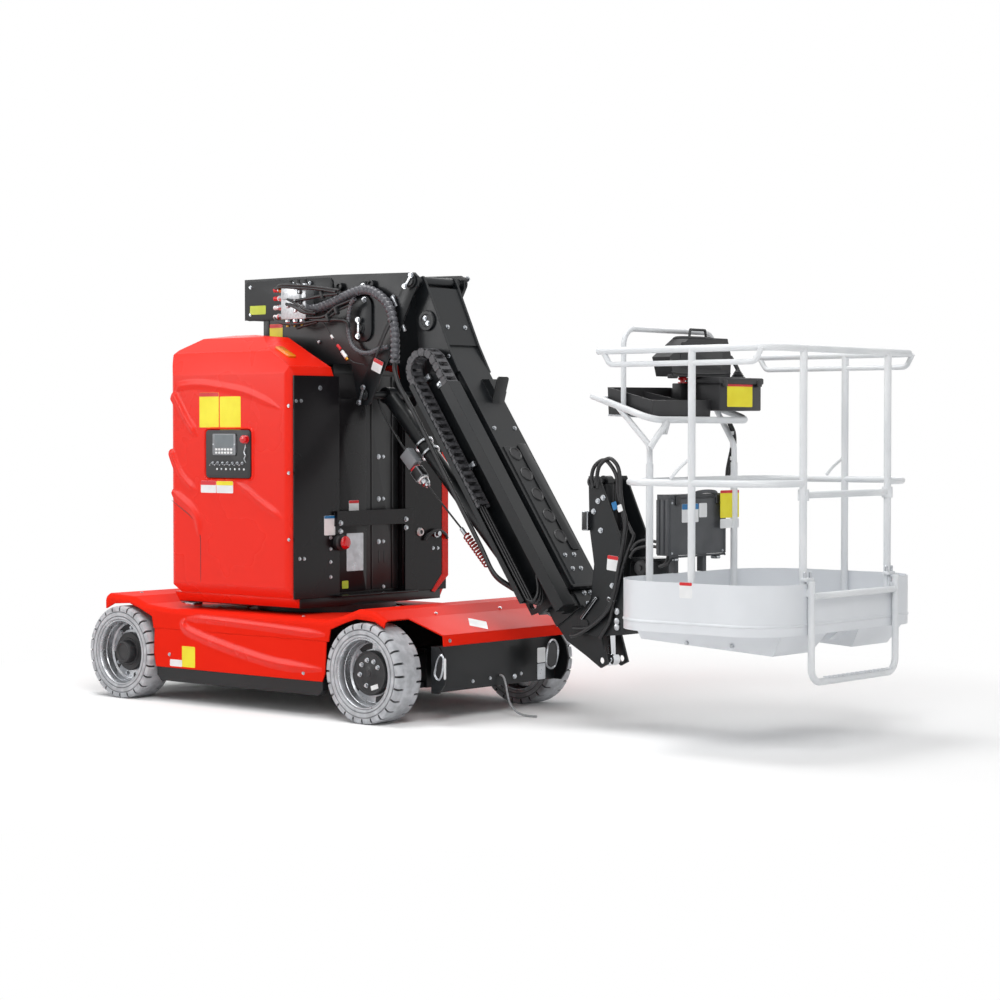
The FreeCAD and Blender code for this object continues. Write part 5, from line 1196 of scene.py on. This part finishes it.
def arm_parts():
    """Hoses, patches, pins and side plates of the arm that levels the basket."""
    runs = (
        ((1706, 1040), (1700, 1092), (1719, 1137), (1768, 1161), (1810, 1131), (1836, 1085), (1844, 1018),
         (1861, 959), (1878, 879), (1865, 779), (1845, 692), (1815, 590), (1765, 501), (1684, 443), (1600, 434)),
        ((1738, 1041), (1736, 1097), (1753, 1141), (1802, 1168), (1844, 1138), (1859, 1085), (1861, 1032),
         (1873, 959), (1890, 900), (1878, 813), (1853, 712), (1828, 598), (1794, 523), (1718, 458), (1632, 410),
         (1590, 402)),
        ((1890, 900), (1911, 864), (1924, 841), (1903, 794), (1870, 719), (1836, 611), (1811, 530), (1794, 469),
         (1743, 399)))
    shape = bmesh.new()
    for index, points in enumerate(runs):
        across = (-113, -121, -112)[index]
        hose(shape, side_on(across, points), (8.5, 8.5, 7)[index], 12, 8)
    for points in (
            ((1911, 781), (1944, 815), (1994, 827), (2043, 821), (2092, 813), (2124, 775), (2108, 735), (2066, 720)),
            ((1905, 750), (1932, 784), (1984, 800), (2040, 800), (2086, 790), (2104, 764), (2090, 730), (2060, 716))):
        hose(shape, side_on(-112, points), 7, 10, 8)
    finished("arm_hoses", shape, [hose_rubber], "arm", sharp=50)
    shape = bmesh.new()
    for up in (518, 451, 476):
        place, facing = on_skin("level_arm", (1830, -400, up), Y)
        lathe(shape, place, facing, [(-3, 14), (7, 14), (8, 12)], 24, 0)
    lathe(shape, (1700, -106, 1067), -Y, [(-4, 24), (8, 24), (10, 21), (10, 14), (6, 12)], 28, 1)
    block(shape, (1690, 60, 960), (74, 6, 216), 1, 1)
    block(shape, (1682, -108, 525), (12, 10, 128), 2, 1, Matrix.Rotation(0.72, 3, "Y"))
    block(shape, (1667, -110, 900), (34, 22, 84), 4, 1)
    block(shape, (1808, -112, 566), (34, 26, 18), 3, 1, Matrix.Rotation(0.5, 3, "Y"))
    lathe(shape, (1937, -66, 706), -Y, [(0, 32), (16, 32), (19, 28), (19, 12), (26, 11)], 32, 1)
    finished("arm_pins", shape, [zinc, black_abs], "arm")
    heads = [on_skin("level_arm", (along, -400, up), Y) for along, up in (
        (1752, 1000), (1724, 985), (1739, 860), (1802, 626), (1700, 940))]
    bolts("arm_bolts", "arm", heads, 9, 7)
    patches("arm_patches", "arm", [
        ((1803, -100, 722), -Y, Vector((0.1, 0, 1)), (58, 64), WHITE, (RED, 0.25)),
        ((1838, -131, 968), -Y, Vector((-0.35, 0, 0.94)), (26, 34), BLUE, None),
        ((1866, -131, 958), -Y, Vector((-0.35, 0, 0.94)), (26, 30), WHITE, None)])


# ---------------------------------------------------------------- basket

def basket_parts():
    """The tub's rolled lip and under-pans, and the brackets and step treads of the basket."""
    tub, white, bright = range(3)
    lip_radius, lip_sunk = 7, 3
    shape = bmesh.new()
    middle = spot(2464, 0, 530)
    lip = []
    for step in range(96):
        angle = math.tau * step / 96
        away = Vector((math.cos(angle), math.sin(angle) * 1.15, 0)).normalized()
        place, facing = on_skin("basket_floor", middle + away * 0.9, -away)
        lip.append(place - facing * lip_sunk / 1000)
    hose(shape, lip + lip[:1], lip_radius, 10, 2, tub)
    for side in (RIGHT, LEFT):
        top = [spot(along, side * across, 500) for along, across in (
            (2190, 450), (2900, 450), (2900, 110), (2190, 110))]
        low = [spot(along, side * across, up) for along, across, up in (
            (2198, 420, 444), (2838, 420, 409), (2838, 150, 409), (2198, 150, 444))]
        walled(shape, [[shape.verts.new(corner) for corner in row] for row in (top, low)], tub)
        hose(shape, [(2449, side * 560, 1097), (2484, side * 560, 1134), (2529, side * 560, 1169)], 7, 10, 4, white)
        block(shape, (2918, side * 300, 706), (26, 56, 14), 3, white)
        for shift in (-20, 20):
            lathe(shape, (2918, side * 300 + shift, 712), Z, [(0, 6), (22, 6), (24, 4)], 12, bright)
    for along, across in ((2434, -428), (2655, -430)):
        lathe(shape, (along, across, 440), -Y, [(0, 9), (8, 9), (9, 7)], 6, bright)
    hose(shape, [(2943, -300, 641), (2943, 0, 641), (2943, 300, 641)], 13, 16, 4, white)
    for index in range(15):
        block(shape, (2940, -190 + index * 33, 320), (32, 15, 5), 1.5, white)
    finished("basket_fittings", shape, [tub_powder, grey_powder, zinc], "basket")
    patches("basket_patches", "basket", [((2534, -575, 662), -Y, Z, (61, 62), WHITE, (RED, 0.2))])


# ---------------------------------------------------------------- console

def console_parts():
    """The basket's control box with its levers, the tool tray, the hood's grip, the case's fittings and the leads."""
    black, grey, bright, red, rubber = range(5)
    shape = bmesh.new()
    block(shape, (2136, 248, 1428), (168, 306, 116), 6, black)
    block(shape, (2138, 246, 1496), (182, 326, 28), 7, black)
    for across in (120, 372):
        block(shape, (2227, across, 1486), (12, 34, 26), 3, black)
    panel(shape, (2118, 246, 1509), Z, -X, (260, 112), 10, 2, grey, 0.4)
    for rank in range(2):
        for place in range(4):
            centre = spot(2078 + rank * 34, 132 + place * 34, 1511)
            lathe(shape, centre, Z, [(0, 7), (4, 7), (4, 5), (8, 5)], 6, bright)
            stalk = [centre + Vector(reach) for reach in ((0, 0, 0.007), (0.004, 0, 0.016), (0.008, 0, 0.024))]
            hose(shape, stalk, 2.8, 8, 3, bright)
    for along, across, up in ((2070, 108, 1511), (2052, 60, 1486)):
        lathe(shape, (along, across, up), Z, [
            (0, 20), (5, 20), (6, 11), (12, 11), (14, 18), (20, 20), (25, 17), (28, 9), (28.5, 0)], 32, red)
    block(shape, (2040, 60, 1450), (44, 60, 72), 4, black)
    stick = spot(2140, 340, 1511)
    profile = [(0, 32)]
    for fold in range(4):
        profile += [(5 + fold * 7, 32 - fold * 5), (9 + fold * 7, 24 - fold * 4)]
    lathe(shape, stick, Z, profile + [(36, 10), (38, 8)], 28, rubber)
    grip = [stick + Vector(reach) for reach in ((0, 0, 0.036), (-0.012, -0.006, 0.062), (-0.030, -0.014, 0.092))]
    hose(shape, grip, 9, 12, 4, rubber)
    piece = finished("control_levers", shape, [black_abs, unit_grey, zinc, button_red, hose_rubber], "basket",
                     sharp=35)
    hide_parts("control_box")

    shape = bmesh.new()
    rim = [spot(1936, -306, 1466), spot(2168, -306, 1409), spot(2176, 96, 1415), spot(1936, 134, 1470)]
    pit = [spot(1940, -304, 1354), spot(2163, -302, 1340), spot(2170, 94, 1342), spot(1940, 130, 1356)]
    inner = [corner + (sum(rim, Vector()) / 4 - corner) * 0.022 for corner in rim]
    floor = [corner + (sum(pit, Vector()) / 4 - corner) * 0.03 + Z * 0.004 for corner in pit]
    rows = [[shape.verts.new(corner) for corner in row] for row in (pit, rim, inner, floor)]
    walled(shape, rows)
    sheet_metal(shape, [(1940, -60, 1356), (2166, -60, 1342), (2170, -60, 1404), (1940, -60, 1452)], 3, 0)
    # The two zinc rods along the tray's lower edges are painted highlights of those edges.
    hose(shape, [(1944, -310, 1350), (2050, -310, 1346), (2160, -308, 1340)], 4, 8, 4, 1)
    hose(shape, [(2168, -290, 1338), (2172, -100, 1338), (2176, 90, 1340)], 4, 8, 4, 1)
    piece = finished("tool_tray", shape, [black_abs, zinc], "basket", sharp=30)
    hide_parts("console_tray")

    shape = bmesh.new()
    for step in range(2):
        bead(shape, face_on(2131, (
            (-118, 1668), (-60, 1674), (90, 1676), (190, 1674)) if step
            else ((-128, 1530), (-60, 1524), (120, 1524), (300, 1530))), X, 12, 4, 0)
    for start, end in (((54, 1676), (62, 1712)), ((62, 1712), (168, 1712)), ((168, 1712), (176, 1676))):
        hose(shape, [(2090, *start), (2090, *end)], 5.5, 12, 2)
    for across in (-100, 180):
        block(shape, (2118, across, 1512), (22, 46, 18), 3)
    panel(shape, (2131, 86, 1600), X, Z, (300, 110), 14, 2, 0, 0.8)
    finished("hood_grip", shape, [black_abs], "basket")

    shape = bmesh.new()
    ring = [(-125, 1003), (60, 1003), (245, 1003), (252, 996), (252, 880), (252, 768), (245, 760), (60, 760),
            (-125, 760), (-134, 768), (-134, 880), (-134, 996), (-125, 1003)]
    bead(shape, face_on(CASE_FACE, ring), X, 9, 4, 0, 4, ends=False)
    hose(shape, [(CASE_FACE - 6, 36, 1006), (CASE_FACE + 6, 44, 1024), (CASE_FACE + 8, 112, 1030),
                 (CASE_FACE + 6, 180, 1024), (CASE_FACE - 6, 189, 1006)], 8, 12, 6)
    for across in (-84, 204):
        panel(shape, (CASE_FACE, across, 994), X, Z, (34, 40), 5, 7, 1, 2)
    for along in (2078, 2102, 2126):
        block(shape, (along, -146, 884), (16, 8, 228), 3)
    for across in (-90, 210):
        block(shape, (2118, across, 748), (30, 34, 14), 4, 2)
    finished("case_fittings", shape, [case_grey, black_abs, grey_powder], "basket")
    heads = [((CASE_FACE, across, up), X) for across in (-122, 240) for up in (775, 985)]
    bolts("case_screws", "basket", heads, 4, 3)

    shape = bmesh.new()
    for points in (((2110, 1316), (2130, 1275), (2132, 1221), (2116, 1167), (2104, 1113), (2100, 1060)),
                   ((2096, 1330), (2114, 1280), (2116, 1221), (2102, 1160), (2092, 1113), (2090, 1050))):
        hose(shape, side_on(330, points), 7, 10, 8)
    for up in (1275, 1221, 1167):
        lathe(shape, (2122, 330, up), Z, [(-8, 12), (8, 12)], 14, 1)
    finished("console_leads", shape, [hose_rubber, white_vinyl], "basket")
    shape = bmesh.new()
    hose(shape, [(2186, -345, 1216), (2204, -322, 1262), (2212, -286, 1300), (2200, -256, 1330)], 13, 14, 6)
    plate = [(2210, -330, 1268), (2218, -296, 1312), (2212, -262, 1322), (2206, -232, 1322), (2212, -262, 1270)]
    sheet_metal(shape, plate, 4, 0, 1)
    finished("console_brace", shape, [grey_powder], "basket")
    patches("console_patches", "basket", [
        ((2220, 240, 1436), X, Z, (186, 100), YELLOW, (RED, 0.13)),
        ((CASE_FACE, 6, 940), X, Z, (118, 78), WHITE, (BLUE, 0.3)),
        ((CASE_FACE, 98, 950), X, Z, (56, 60), WHITE, None),
        ((2150, 267, 973), X, Z, (138, 118), YELLOW, (RED, 0.1)), ((2150, 267, 890), X, Z, (138, 40), WHITE, None)])


set_camera()
earth_strap()
light_room()
lay_floor()
dress_all()
wheels()
hose_chain()
chassis_parts()
pod_parts()
turret_floor()
ground_controls()
front_parts()
manifold()
head_parts()
jib_hoses()
jib_parts()
lift_parts()
arm_parts()
basket_parts()
console_parts()
